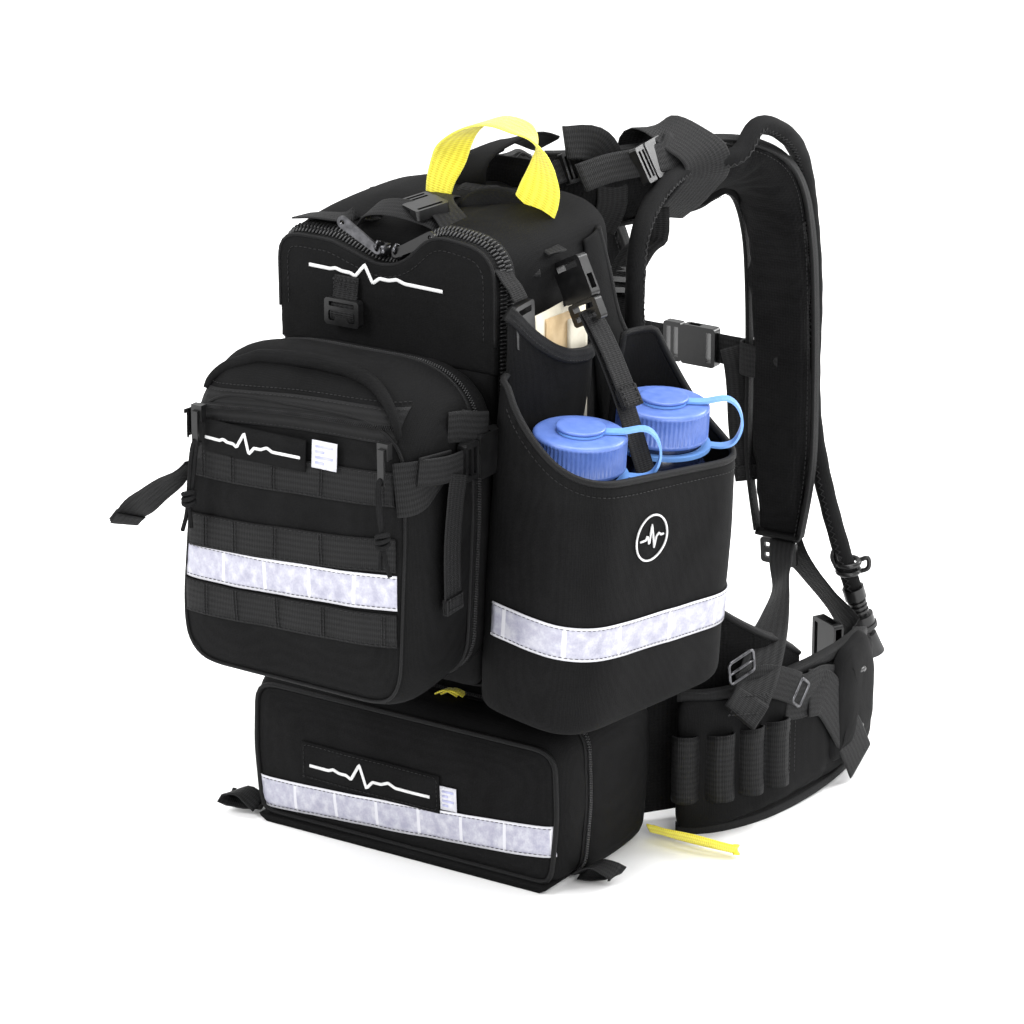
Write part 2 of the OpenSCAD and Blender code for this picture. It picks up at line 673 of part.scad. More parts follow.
main_shell();
frame_sheet();
frame_stays();
back_pad();
reservoir();
side_pocket();
left_pocket();
bottle_holster();
holster_tape();
lumbar_shell();
belt_center();
yoke_pad();
shoulder_pad_right();
shoulder_pad_left();
harness_webbing();
pack_webbing();
side_wing();
strap_adjusters();
hydration_hose();
valve_body();
buckle_sockets();
main_zip();
main_flap();
flap_tab();
flap_buckle();
main_pull_left();
main_pull_right();
pouch_back();
pouch_front();
pouch_webbing();
pouch_tape();
compression_straps();
compression_plugs();
pouch_slider_left();
pouch_slider_right();
pull_cord_left();
pull_cord_right();
lumbar_front();
lumbar_tape();
grab_handle();
release_loop();
notebook();
bottle_front();
tether_front();
cap_front();
bottle_rear();
tether_rear();
cap_rear();
retention_plug();
sternum_webbing();
sternum_socket();
sternum_plug();
belt_wing_right();
belt_wing_left();
belt_webbing_right();
belt_socket();
belt_plug();
valve_lever();
dust_cap();
hanging_buckle();
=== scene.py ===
from math import acos, cos, exp, pi, radians, sin, sqrt, tan

import bpy
import numpy as np
from numpy.linalg import norm
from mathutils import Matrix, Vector, noise
from mathutils.bvhtree import BVHTree


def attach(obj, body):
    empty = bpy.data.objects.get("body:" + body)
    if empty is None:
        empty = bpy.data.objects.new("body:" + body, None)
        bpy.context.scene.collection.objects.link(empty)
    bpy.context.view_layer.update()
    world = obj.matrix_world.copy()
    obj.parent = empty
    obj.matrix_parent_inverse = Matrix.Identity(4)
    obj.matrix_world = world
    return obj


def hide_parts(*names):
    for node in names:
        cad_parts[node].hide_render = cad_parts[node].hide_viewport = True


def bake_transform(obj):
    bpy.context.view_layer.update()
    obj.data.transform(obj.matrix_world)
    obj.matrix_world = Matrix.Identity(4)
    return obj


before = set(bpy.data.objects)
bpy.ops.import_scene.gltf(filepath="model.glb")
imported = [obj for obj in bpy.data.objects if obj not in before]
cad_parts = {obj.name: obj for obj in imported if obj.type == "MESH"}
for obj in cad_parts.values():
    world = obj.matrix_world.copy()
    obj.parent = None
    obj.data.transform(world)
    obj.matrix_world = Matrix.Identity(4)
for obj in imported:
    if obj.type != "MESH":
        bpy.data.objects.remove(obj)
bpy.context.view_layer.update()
MM = 0.001
SIDES = ((1, "right"), (-1, "left"))
UP = np.array([0.0, 0, 1])
FRONT = np.array([0.0, 1.0, 0.0])

# ---------- camera, stage, light ----------

scene = bpy.context.scene
cam_data = bpy.data.cameras.new("camera")
cam_data.lens = 152.6
cam_data.sensor_width = 36
cam_data.clip_end = 50
camera = bpy.data.objects.new("camera", cam_data)
camera.location = (1.70143, -2.54351, 1.31702)
camera.rotation_euler = Vector((-0.5144, 0.7920, -0.3289)).to_track_quat("-Z", "Y").to_euler()
scene.collection.objects.link(camera)
scene.camera = camera
scene.view_settings.view_transform = "Standard"

# ---------- node materials ----------


def put(tree, kind, inputs=None, **props):
    """A shader node with its properties, and its inputs set to values or linked to sockets."""
    made = tree.nodes.new(kind)
    for key, value in props.items():
        setattr(made, key, value)
    for key, value in (inputs or {}).items():
        if isinstance(value, bpy.types.NodeSocket):
            tree.links.new(value, made.inputs[key])
        else:
            made.inputs[key].default_value = value
    return made


def new_material(name, rough, **sockets):
    """A material, its node tree and its shader, with the shader's inputs set."""
    made = bpy.data.materials.new(name)
    made.use_nodes = True
    shader = made.node_tree.nodes["Principled BSDF"]
    shader.inputs["Roughness"].default_value = rough
    for key, value in sockets.items():
        shader.inputs[key.replace("_", " ")].default_value = value
    return made, made.node_tree, shader


def ramp(tree, fac, stops):
    """Colour ramp of (place, colour) stops."""
    made = put(tree, "ShaderNodeValToRGB", {"Fac": fac})
    band = made.color_ramp
    while len(band.elements) < len(stops):
        band.elements.new(0.5)
    for element, (place, colour) in zip(band.elements, stops):
        element.position = place
        element.color = (*colour, 1)
    return made.outputs["Color"]


def math_node(tree, how, a, b=0.0):
    return put(tree, "ShaderNodeMath", {0: a, 1: b}, operation=how).outputs[0]


def add_bump(tree, shader, height, distance, strength=0.6):
    bump = put(tree, "ShaderNodeBump", {"Height": height, "Distance": distance, "Strength": strength})
    tree.links.new(bump.outputs["Normal"], shader.inputs["Normal"])


def cloth_material(name, dark, light, pitch=1.3, rough=0.75, depth=0.00022, sheen=0.0):
    """Woven nylon: yarns along X, Y and Z, with uneven dye and a little lint."""
    made, tree, shader = new_material(name, rough, Sheen_Weight=sheen, Sheen_Roughness=0.4,
                                      Specular_IOR_Level=0.075)
    where = put(tree, "ShaderNodeTexCoord").outputs["Object"]
    yarns = None
    for axis in "XYZ":
        wave = put(tree, "ShaderNodeTexWave",
                   {"Vector": where, "Scale": 314.0 / pitch, "Distortion": 2.5, "Detail": 1.0,
                    "Detail Scale": 0.6}, bands_direction=axis).outputs["Fac"]
        yarns = wave if yarns is None else math_node(tree, "ADD", yarns, wave)
    grain = put(tree, "ShaderNodeTexNoise", {"Vector": where, "Scale": 900.0, "Detail": 3.0}).outputs["Fac"]
    cloud = put(tree, "ShaderNodeTexNoise", {"Vector": where, "Scale": 28.0, "Detail": 4.0}).outputs["Fac"]
    height = math_node(tree, "ADD", math_node(tree, "MULTIPLY", yarns, 0.22),
                       math_node(tree, "MULTIPLY", grain, 1.2))
    mix = math_node(tree, "ADD", math_node(tree, "MULTIPLY", height, 0.32),
                    math_node(tree, "MULTIPLY", cloud, 0.35))
    tree.links.new(ramp(tree, mix, [(0.3, dark), (0.75, light)]), shader.inputs["Base Color"])
    add_bump(tree, shader, height, depth)
    return made


def webbing_material(name, dark, light, pitch=1.5, rough=0.6, sheen=0.0):
    """Ribbed webbing. UV is in centimetres: U across the band, V along it."""
    made, tree, shader = new_material(name, rough, Sheen_Weight=sheen, Specular_IOR_Level=0.14)
    where = put(tree, "ShaderNodeTexCoord").outputs["UV"]
    ribs = put(tree, "ShaderNodeTexWave", {"Vector": where, "Scale": 3.14 / pitch, "Distortion": 0.6},
               bands_direction="Y").outputs["Fac"]
    lines = put(tree, "ShaderNodeTexWave", {"Vector": where, "Scale": 3.14 / 4.2},
                bands_direction="X").outputs["Fac"]
    grain = put(tree, "ShaderNodeTexNoise", {"Vector": where, "Scale": 60.0, "Detail": 3.0}).outputs["Fac"]
    height = math_node(tree, "ADD", math_node(tree, "ADD", ribs, math_node(tree, "MULTIPLY", lines, 0.8)),
                       grain)
    tree.links.new(ramp(tree, math_node(tree, "MULTIPLY", height, 0.4), [(0.25, dark), (0.85, light)]),
                   shader.inputs["Base Color"])
    add_bump(tree, shader, height, 0.0004)
    return made


def plain_material(name, dark, light, rough=0.35, scale=160.0, depth=0.00006, **sockets):
    """Moulded or drawn material: faint mottling, and wear in the gloss."""
    made, tree, shader = new_material(name, rough, **sockets)
    where = put(tree, "ShaderNodeTexCoord").outputs["Object"]
    mottle = put(tree, "ShaderNodeTexNoise",
                 {"Vector": where, "Scale": scale, "Detail": 5.0, "Roughness": 0.6}).outputs["Fac"]
    tree.links.new(ramp(tree, mottle, [(0.35, dark), (0.7, light)]), shader.inputs["Base Color"])
    rub = put(tree, "ShaderNodeMapRange", {"Value": mottle, "To Min": rough - 0.08, "To Max": rough + 0.12})
    tree.links.new(rub.outputs["Result"], shader.inputs["Roughness"])
    add_bump(tree, shader, mottle, depth, 0.5)
    return made


def grey(v):
    """A faintly blue dark grey."""
    return (v, v, v * 1.04)


NYLON = cloth_material("nylon", grey(0.0021), grey(0.0083))
LINING = cloth_material("lining", grey(0.003), grey(0.009), pitch=0.9)
KNIT = cloth_material("spacer_knit", grey(0.002), grey(0.0105), pitch=2.4, rough=0.85, depth=0.0008)
BINDING = webbing_material("binding", grey(0.003), grey(0.012), pitch=1.0)
WEBBING = webbing_material("webbing_black", grey(0.003), grey(0.013))
YELLOW = webbing_material("webbing_yellow", (0.72, 0.6, 0.03), (0.95, 0.88, 0.09), pitch=1.8, sheen=0.3)
PLASTIC = plain_material("acetal", grey(0.004), grey(0.008), 0.3, Specular_IOR_Level=0.35, Coat_Weight=0.12,
                         Coat_Roughness=0.2)
TEETH = plain_material("zip_coil", grey(0.01), grey(0.024), 0.38, Specular_IOR_Level=0.4)
METAL = plain_material("nickel", (0.05, 0.05, 0.053), (0.13, 0.13, 0.138), 0.28, Metallic=1.0)
STAY = plain_material("aluminium", (0.45, 0.45, 0.47), (0.62, 0.62, 0.64), 0.4, Metallic=1.0)
SHEET = plain_material("frame_polymer", grey(0.02), grey(0.04), 0.5)
FILM = plain_material("reservoir_film", (0.25, 0.35, 0.42), (0.38, 0.5, 0.58), 0.25, Transmission_Weight=0.35)
RUBBER = plain_material("rubber", grey(0.008), grey(0.018), 0.55)
SLEEVE = cloth_material("hose_sleeve", grey(0.003), grey(0.013), pitch=1.0)
CORD = cloth_material("cord_braid", grey(0.003), grey(0.015), pitch=1.1, depth=0.0005)
THREAD = plain_material("thread_black", grey(0.007), grey(0.018), 0.5, Specular_IOR_Level=0.2)
SILK = plain_material("thread_white", (0.5, 0.5, 0.5), (0.66, 0.66, 0.66), 0.45, Sheen_Weight=0.3)
SLATE = plain_material("label_ink", (0.3, 0.32, 0.5), (0.42, 0.42, 0.6), 0.6)
LABEL = plain_material("label_white", (0.46, 0.46, 0.5), (0.58, 0.58, 0.62), 0.6, scale=400.0)
PAPER = plain_material("paper", (0.52, 0.48, 0.38), (0.68, 0.64, 0.53), 0.8, scale=40.0)
KRAFT = plain_material("paper_kraft", (0.42, 0.3, 0.16), (0.55, 0.42, 0.25), 0.8, scale=60.0)
BODY = plain_material("bottle_copolyester", (0.012, 0.02, 0.06), (0.02, 0.032, 0.085), 0.15,
                      Transmission_Weight=0.25, Coat_Weight=0.4)
CAP = plain_material("cap_blue", (0.082, 0.15, 0.44), (0.11, 0.185, 0.5), 0.36, depth=0.00003)
TETHER = plain_material("tether_blue", (0.125, 0.28, 0.62), (0.16, 0.33, 0.68), 0.36, depth=0.00003)


def tape_material():
    """Prismatic reflective tape: clear cells 38 mm long between matt welds, inside matt borders."""
    made, tree, shader = new_material("reflective_tape", 0.35, Coat_Weight=0.25, Coat_Roughness=0.15)
    uv = put(tree, "ShaderNodeSeparateXYZ", {0: put(tree, "ShaderNodeTexCoord").outputs["UV"]})
    along = math_node(tree, "PINGPONG", uv.outputs["Y"], 1.9)
    weld = math_node(tree, "LESS_THAN", along, 0.13)
    border = math_node(tree, "GREATER_THAN", math_node(tree, "ABSOLUTE", uv.outputs["X"]), 0.86)
    frame_part = math_node(tree, "MAXIMUM", weld, border)
    cells = put(tree, "ShaderNodeTexVoronoi",
                {"Vector": put(tree, "ShaderNodeTexCoord").outputs["UV"], "Scale": 9.0}).outputs["Distance"]
    soft = put(tree, "ShaderNodeTexNoise",
               {"Vector": put(tree, "ShaderNodeTexCoord").outputs["UV"], "Scale": 1.4,
                "Detail": 2.0}).outputs["Fac"]
    tone = math_node(tree, "ADD", math_node(tree, "MULTIPLY", cells, 0.18), soft)
    clear = ramp(tree, tone,
                 [(0.35, (0.25, 0.25, 0.32)), (0.62, (0.34, 0.34, 0.405)), (0.8, (0.43, 0.43, 0.475))])
    mix = put(tree, "ShaderNodeMix", {0: frame_part, 6: clear, 7: (0.52, 0.52, 0.555, 1)}, data_type="RGBA")
    tree.links.new(mix.outputs[2], shader.inputs["Base Color"])
    add_bump(tree, shader, math_node(tree, "ADD", cells, frame_part), 0.0002, 0.4)
    return made


TAPE = tape_material()


def white_floor():
    floor = bpy.data.materials.new("studio_floor")
    floor.use_nodes = True
    shader = floor.node_tree.nodes["Principled BSDF"]
    shader.inputs["Base Color"].default_value = (0.93, 0.93, 0.93, 1)
    shader.inputs["Roughness"].default_value = 0.9
    return floor

# ---------- mesh helpers ----------


def vec(*numbers):
    return np.array(numbers, float)


def arr(*rows):
    return [vec(*r) for r in rows]


def mirrored(s, *points):
    """The points, with x turned over where s is -1."""
    return [vec(s * x, y, z) for x, y, z in points]


def unit(v):
    return v / max(norm(v), 1e-9)


def running(p):
    """Distance along the points p at each of them."""
    return np.concatenate([[0], np.cumsum(norm(np.diff(p, axis=0), axis=1))])


def item(value, i):
    """The i-th of a list of values, or the one value that stands for all."""
    return value[i] if isinstance(value, (list, np.ndarray)) else value


def smooth(points, k):
    """Catmull-Rom curve through the points, with k steps between neighbours."""
    p = [np.atleast_1d(np.array(q, float)) for q in points]
    out = []
    for i in range(len(p) - 1):
        a, b, c, d = p[max(i - 1, 0)], p[i], p[i + 1], p[min(i + 2, len(p) - 1)]
        for s in range(k):
            u = s / k
            out.append(0.5
                       * (2 * b + (c - a) * u + (2 * a - 5 * b + 4 * c - d) * u * u
                          + (3 * b - a - 3 * c + d) * u ** 3))
    return out + [p[-1]]


def resample(points, step, closed=False):
    """Points at even steps along a polyline, and their distances along it."""
    p = np.array(list(points) + ([points[0]] if closed else []), float)
    run = running(p)
    n = max(2, int(round(run[-1] / step)) + 1)
    at = np.linspace(0, run[-1], n)
    out = np.stack([np.interp(at, run, p[:, k]) for k in range(p.shape[1])], axis=1)
    return (out[:-1], at[:-1]) if closed else (out, at)


def tangents(p, closed=False):
    """Unit directions along a polyline."""
    p = np.asarray(p)
    if closed:
        d = np.roll(p, -1, axis=0) - np.roll(p, 1, axis=0)
    else:
        d = np.vstack([p[1] - p[0], p[2:] - p[:-2],
                       p[-1] - p[-2]]) if len(p) > 2 else np.vstack([p[1] - p[0]] * 2)
    return d / np.maximum(norm(d, axis=1, keepdims=True), 1e-9)


def make(name, verts, faces, mats, uvs=None, which=None, sharp=False):
    """Object from points in millimetres. uvs holds one pair for each corner of each face."""
    me = bpy.data.meshes.new(name)
    me.from_pydata([tuple(float(c) * MM for c in v) for v in verts], [], faces)
    if uvs is not None:
        layer = me.uv_layers.new(name="UVMap")
        layer.data.foreach_set("uv", np.array(uvs, float).ravel())
    for m in mats if isinstance(mats, (list, tuple)) else [mats]:
        me.materials.append(m)
    if which is not None:
        me.polygons.foreach_set("material_index", which)
    me.polygons.foreach_set("use_smooth", [not sharp] * len(me.polygons))
    me.validate()
    ob = bpy.data.objects.new(name, me)
    scene.collection.objects.link(ob)
    return ob


class Build:
    """Collects quads of several shapes into one mesh."""

    def __init__(self):
        self.verts, self.faces, self.uvs, self.which = [], [], [], []

    def grid(self, rows, wrap=False, uv=None, slot=0, ends=False):
        """Quads between rows of points; wrap joins each row's end to its start."""
        base, m = len(self.verts), len(rows[0])
        for row in rows:
            self.verts.extend(row)
        for i in range(len(rows) - 1):
            for j in range(m if wrap else m - 1):
                k = (j + 1) % m
                self.faces.append((base + i * m + j, base + i * m + k, base + (i + 1) * m + k,
                                   base + (i + 1) * m + j))
                for a, b in ((i, j), (i, j + 1), (i + 1, j + 1), (i + 1, j)):
                    self.uvs.append(uv(a, b) if uv else (a * 0.1, b * 0.1))
                self.which.append(slot)
        if ends:
            for i, turn in ((0, -1), (len(rows) - 1, 1)):
                self.faces.append(tuple(base + i * m + j for j in range(m))[::turn])
                self.uvs.extend([(0.0, 0.0)] * m)
                self.which.append(slot)

    def tube(self, path, radius, sides=8, closed=False, slot=0):
        """Round bar along path; radius is one number, or one for each point."""
        p = np.asarray(path, float)
        t = tangents(p, closed)
        run = running(p) / 10
        rows, side = [], unit(vec(0.3, 0.2, 1.0))
        for i in range(len(p)):
            side = unit(side - np.dot(side, t[i]) * t[i])
            other = np.cross(t[i], side)
            rows.append([p[i] + item(radius, i) * (cos(a) * side + sin(a) * other)
                         for a in (2 * pi * k / sides for k in range(sides))])
        if closed:
            rows.append(rows[0])
            run = np.append(run, run[-1])
        self.grid(rows, True, lambda i, j: (j / sides * 2, run[i]), slot, ends=not closed)

    def band(self, path, wide, width, thick=1.6, slot=0, cells=4):
        """Flat webbing along path, its width along the directions wide, with softened edges."""
        p = np.asarray(path, float)
        t = tangents(p)
        run = running(p) / 10
        rows = []
        across = [-1, -0.93] + list(np.linspace(-0.8, 0.8, cells)) + [0.93, 1]
        depth = [0.15, 0.8] + [1] * cells + [0.8, 0.15]
        for i in range(len(p)):
            u = np.array(wide[i] if np.ndim(wide) == 2 else wide, float)
            u = unit(u - np.dot(u, t[i]) * t[i])
            v = np.cross(t[i], u)
            w = item(width, i) / 2
            rows.append([p[i] + a * w * u + d * thick / 2 * v for a, d in zip(across, depth)]
                        + [p[i] + a * w * u - d * thick / 2 * v for a, d in zip(across[::-1], depth[::-1])])
        w0 = item(width, 0) / 20
        us = [a * w0 for a in across] + [a * w0 for a in across[::-1]] + [across[0] * w0]
        self.grid(rows, True, lambda i, j: (us[j], run[i]), slot, ends=True)

    def stitches(self, path, wide, pitch=3.6, length=2.4, size=0.7, lift=0.3, slot=0):
        """Short threads along path; wide is the direction off the cloth."""
        p, _ = resample(path, pitch)
        t = tangents(p)
        normals = np.asarray(wide, float)
        for i in range(len(p)):
            n = normals if normals.ndim == 1 else normals[min(int(i * len(normals) / len(p)),
                                                              len(normals) - 1)]
            n = unit(n - np.dot(n, t[i]) * t[i])
            s = np.cross(t[i], n)
            c = p[i] + n * lift
            rows = [[c + a * t[i] * length / 2 + h * (x * s + y * n) * size / 2
                     for x, y in ((-1, -1), (1, -1), (0.7, 1), (-0.7, 1))]
                    for a, h in ((-1, 0.5), (-0.5, 1), (0.5, 1), (1, 0.5))]
            self.grid(rows, True, None, slot, ends=True)

    def close_last(self, count):
        """Triangles from the last ring of points to their middle."""
        base = len(self.verts) - count
        self.verts.append(np.mean(self.verts[base:], axis=0))
        for j in range(count):
            self.faces.append((base + j, base + (j + 1) % count, base + count))
            self.uvs.extend([(0, 0)] * 3)
            self.which.append(0)

    def done(self, name, mats, **kw):
        return make(name, self.verts, self.faces, mats, self.uvs, self.which, **kw)


def piece(ob, body, slot, *nodes):
    """Hands ob to a body and hides the CAD nodes that it stands for; the slot argument is not used."""
    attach(ob, body)
    if nodes:
        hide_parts(*nodes)
    return ob


def modifier(ob, kind, **props):
    m = ob.modifiers.new(kind.lower(), kind)
    for key, value in props.items():
        setattr(m, key, value)
    return m


def soften(ob):
    modifier(ob, "SUBSURF", levels=1, render_levels=1)


def strap(name, body, points, wide, width, thick=1.6, k=4, mat=WEBBING, nodes=(), slot="webbing", hem=0):
    """Webbing through points; hem is the length of a folded and stitched hem at its end."""
    path = smooth(points, k)
    dirs = smooth(wide, k) if np.ndim(wide) == 2 else np.array(wide, float)
    widths = [float(w[0]) for w in smooth(width, k)] if isinstance(width, list) else width
    b = Build()
    b.band(path, dirs, widths, thick)
    p = np.array(path)
    t = tangents(p)
    d = np.array(dirs) if np.ndim(dirs) == 2 else np.tile(dirs, (len(p), 1))
    n = np.cross(t, d)
    n /= np.maximum(norm(n, axis=1, keepdims=True), 1e-9)
    if hem:
        end = resample(p[::-1], 3.0)[0]
        end = end[:max(2, int(hem / 3.0) + 1)]
        side = d[-1]
        w_end = widths[-1] if isinstance(widths, list) else widths
        b.band(end + n[-1] * thick * 1.02, side, w_end, thick)
        b.band(end - n[-1] * thick * 1.02, side, w_end * 0.98, thick)
        for s in (-1, 1):
            b.stitches(np.array([end[1], end[-1]]) + side * (w_end / 2 - 3) * s + n[-1] * thick * 1.6,
                       n[-1], slot=1)
        for q in (end[1], end[-1]):
            b.stitches(np.array([q - side * (w_end / 2 - 3), q + side * (w_end / 2 - 3)]) + n[-1] * thick
                       * 1.6, n[-1], slot=1)
    ob = b.done(name, [mat, THREAD])
    return piece(ob, body, slot, *nodes) if body else ob


def evaluated(ob):
    """Search tree of the object with its modifiers, in metres."""
    graph = bpy.context.evaluated_depsgraph_get()
    return BVHTree.FromObject(ob, graph)


def cast(tree, start, way, reach=400):
    """First hit from start along way, both in millimetres: (point, normal) or None."""
    hit, normal, _, _ = tree.ray_cast(Vector(start) * MM, Vector(way).normalized(), reach * MM)
    if hit is None:
        return None
    normal = np.array(normal)
    if np.dot(normal, way) > 0:
        normal = -normal
    return np.array(hit) / MM, normal


def lay(tree, rows, way, lift):
    """Rows of start points dropped along way on to a surface, and lifted off it."""
    out, last = [], None
    for row in rows:
        line = []
        for q in row:
            w = way(q) if callable(way) else np.array(way, float)
            found = cast(tree, np.array(q, float) - w * 60, w)
            if found is None:
                line.append(np.array(q, float) if last is None else np.array(q, float) + last)
            else:
                point, normal = found
                line.append(point - unit(w) * lift)
                last = line[-1] - np.array(q, float)
        out.append(line)
    return out


def applique(name, body, tree, rows, way, lift, thick, mat, slot, nodes=(), scale=None):
    """Band or patch that follows the cloth under it. rows run along it, and each row runs across it."""
    top = lay(tree, rows, way, lift)
    b = Build()
    run = np.concatenate([[0], np.cumsum([norm(top[i + 1][len(top[0]) // 2] - top[i][len(top[0]) // 2])
                                          for i in range(len(top) - 1)])]) / 10
    m = len(rows[0]) - 1
    w = norm(np.array(rows[0][-1]) - np.array(rows[0][0])) / 10
    uv = scale or (lambda i, j: ((j / m - 0.5) * w, run[i]))
    b.grid(top, uv=uv)
    ob = b.done(name, mat)
    modifier(ob, "SOLIDIFY", thickness=thick * MM, offset=0)
    return piece(ob, body, slot, *nodes)


def rounded(corners, n):
    """n points round a closed outline whose corners (x, z, radius) are rounded."""
    pts, m = [], len(corners)
    for i in range(m):
        a, c, b = (np.array(corners[(i + d) % m][:2], float) for d in (-1, 0, 1))
        r = corners[i][2]
        u, v = unit(a - c), unit(b - c)
        half = acos(max(-1, min(1, np.dot(u, v)))) / 2
        reach = min(r / tan(half), 0.49 * norm(a - c), 0.49 * norm(b - c))
        for s in np.linspace(0, 1, 9):
            p0, p1, p2 = c + u * reach, c, c + v * reach
            pts.append((1 - s) ** 2 * p0 + 2 * s * (1 - s) * p1 + s * s * p2)
    return resample(pts, sum(norm(pts[i] - pts[i - 1]) for i in range(len(pts))) / n, True)[0][:n]


def offset(outline, inset):
    """The outline moved in by inset."""
    t = tangents(np.column_stack([outline, np.zeros(len(outline))]), True)[:, :2]
    inward = np.column_stack([-t[:, 1], t[:, 0]])
    area = np.sum(outline[:, 0] * np.roll(outline[:, 1], -1) - np.roll(outline[:, 0], -1) * outline[:, 1])
    return outline + inward * inset * (1 if area > 0 else -1)


def crease(p, size, seed=0.0):
    """Folds of that size at a point: sharp ridges between soft hollows, from -1 to 1."""
    q = Vector((p[0] / size + seed, p[1] / size * 0.8, p[2] / size * 0.7))
    return (1 - 2 * abs(noise.noise(q))) * 0.6 + noise.noise(q * 2.3) * 0.4


def shell(name, body, outline, rings, bulge, nodes=(), thick=3.0, warp=None,
          wrinkle=1.2, fold=38.0, steps=10, puckers=0.5, seed=0.0, power=2.0):
    """Sewn bag half: rings of the outline at (y, inset) from its rim, then a bulging panel to the middle."""
    centre = outline.mean(axis=0)
    rows = []
    for y, inset in rings:
        rows.append([vec(q[0], y, q[1]) for q in offset(outline, inset)])
    last_y, last = rings[-1][0], offset(outline, rings[-1][1])
    way = 1 if rings[-1][0] > rings[0][0] else -1
    for k in range(1, steps):
        s = 1 - k / steps
        ring = centre + (last - centre) * s
        rows.append([vec(q[0], last_y + way * bulge * (1 - s ** power), q[1]) for q in ring])
    n_rim = len(rings)
    for i, row in enumerate(rows):
        for j, q in enumerate(row):
            edge = min(1.0, abs(i - n_rim + 1) / 2.0)
            off = crease(q, fold, seed) * wrinkle * (0.35 + 0.65 * edge)
            off += puckers * sin(j * 2.1 + sin(j * 0.7)) * (1 - edge)
            away = vec(0, way, 0) if i >= n_rim else unit(vec(q[0] - centre[0], 0, q[2] - centre[1]))
            out = away * off
            if i == 0:
                out *= 0.3
            row[j] = q + out
            if warp:
                row[j] = warp(row[j])
    b = Build()
    b.grid(rows, True)
    b.close_last(len(outline))
    ob = b.done(name, [NYLON, LINING])
    modifier(ob, "SOLIDIFY", thickness=thick * MM, offset=way, material_offset=1, use_quality_normals=True)
    soften(ob)
    return piece(ob, body, "nylon_cloth", *nodes) if body else ob


def freeze(ob):
    """Applies the object's modifiers to its mesh."""
    graph = bpy.context.evaluated_depsgraph_get()
    graph.update()
    old = ob.data
    ob.data = bpy.data.meshes.new_from_object(ob.evaluated_get(graph))
    ob.modifiers.clear()
    bpy.data.meshes.remove(old)


def ring_path(outline, y, inset, part=(0.0, 1.0)):
    """Points along a part of the outline at depth y."""
    ring = offset(outline, inset)
    n = len(ring)
    return [vec(ring[i % n][0], y, ring[i % n][1]) for i in range(int(part[0] * n), int(part[1] * n) + 1)]


def piping(name, body, path, radius, closed=False):
    """Round corded edge along path."""
    b = Build()
    b.tube(resample(path, 5.0, closed)[0], radius, 8, closed)
    piece(b.done(name, BINDING), body, "nylon_cloth")


def zipper(name, body, path, normal, width, pitch, tape, nodes=(), teeth=TEETH):
    """Coil zip along path: two rows of teeth that mesh, on a woven tape. normal points off the cloth."""
    p = resample(path, 4.0)[0]
    t = tangents(p)
    n = np.array([normal(q) if callable(normal) else normal for q in p], float)
    n = np.array([unit(a - np.dot(a, b) * b) for a, b in zip(n, t)])
    side = np.cross(t, n)
    b = Build()
    b.band(p, side, tape * 2, 0.9)
    fine, _ = resample(np.hstack([p, n, side]), pitch / 2)
    for i, row in enumerate(fine):
        c, nn, ss = row[:3], unit(row[3:6]), unit(row[6:9])
        tt = np.cross(nn, ss)
        s = 1 if i % 2 else -1
        c = c + nn * 1.1 + ss * s * width * 0.24
        rows = [[c + ss * a * width * 0.27 + h * (x * tt * pitch * 0.3 + z * nn * 1.3)
                 for x, z in ((-1, -0.6), (1, -0.6), (0.8, 0.7), (0, 1), (-0.8, 0.7))]
                for a, h in ((-1, 0.6), (-0.5, 1), (0.5, 1), (1, 0.6))]
        b.grid(rows, True, None, 1, ends=True)
    piece(b.done(name, [BINDING, teeth]), body, "zip_teeth", *nodes)

# ---------- stage and light ----------

floor = Build()
floor.grid([[vec(x, y, -0.4) for x in (-6000, 6000)] for y in (-6000, 6000)])
floor = floor.done("floor", white_floor())

world = bpy.data.worlds.new("studio")
scene.world = world
world.use_nodes = True
world.node_tree.nodes["Background"].inputs["Color"].default_value = (1, 1, 1, 1)
world.node_tree.nodes["Background"].inputs["Strength"].default_value = 1.0


def area_light(name, place, aim, size, watts):
    data = bpy.data.lights.new(name, "AREA")
    data.size, data.energy = size, watts
    lamp = bpy.data.objects.new(name, data)
    lamp.location = place
    lamp.rotation_euler = (Vector(aim) - Vector(place)).to_track_quat("-Z", "Y").to_euler()
    scene.collection.objects.link(lamp)


area_light("key", (-1.3, -2.2, 2.1), (0, -0.1, 0.3), 1.2, 62)
area_light("fill", (2.4, -1.6, 1.2), (0, 0.05, 0.25), 1.4, 50)
area_light("top", (0.2, 0.2, 2.6), (0, 0, 0.2), 1.6, 60)
area_light("rim", (1.2, 2.3, 1.6), (0, 0.2, 0.3), 1.2, 70)

# ---------- main compartment ----------

HEART = [(-82, 150, 16), (82, 150, 16), (97, 340, 300), (97, 491, 72), (38, 497, 34), (5, 464, 36),
         (-48, 480, 40), (-99, 480, 56), (-99, 340, 300)]
heart = rounded(HEART, 150)
FOLD = 408.5
flap_line = rounded([(-98, 392, 4), (97, 392, 4)] + HEART[3:8], 120)
lower_line = rounded(HEART[:3] + [(97, FOLD - 1, 4), (-98, FOLD - 1, 4), (-98, 340, 300)], 120)


def main_warp(q):
    """The dip in the top fades out towards the back."""
    if q[2] > 430:
        q[2] += float(np.interp(q[0], [-99, -50, 4, 36], [0, 13, 26, 0])) * min(1.0,
            max(0.0, (q[1] + 70) / 45))
    return q


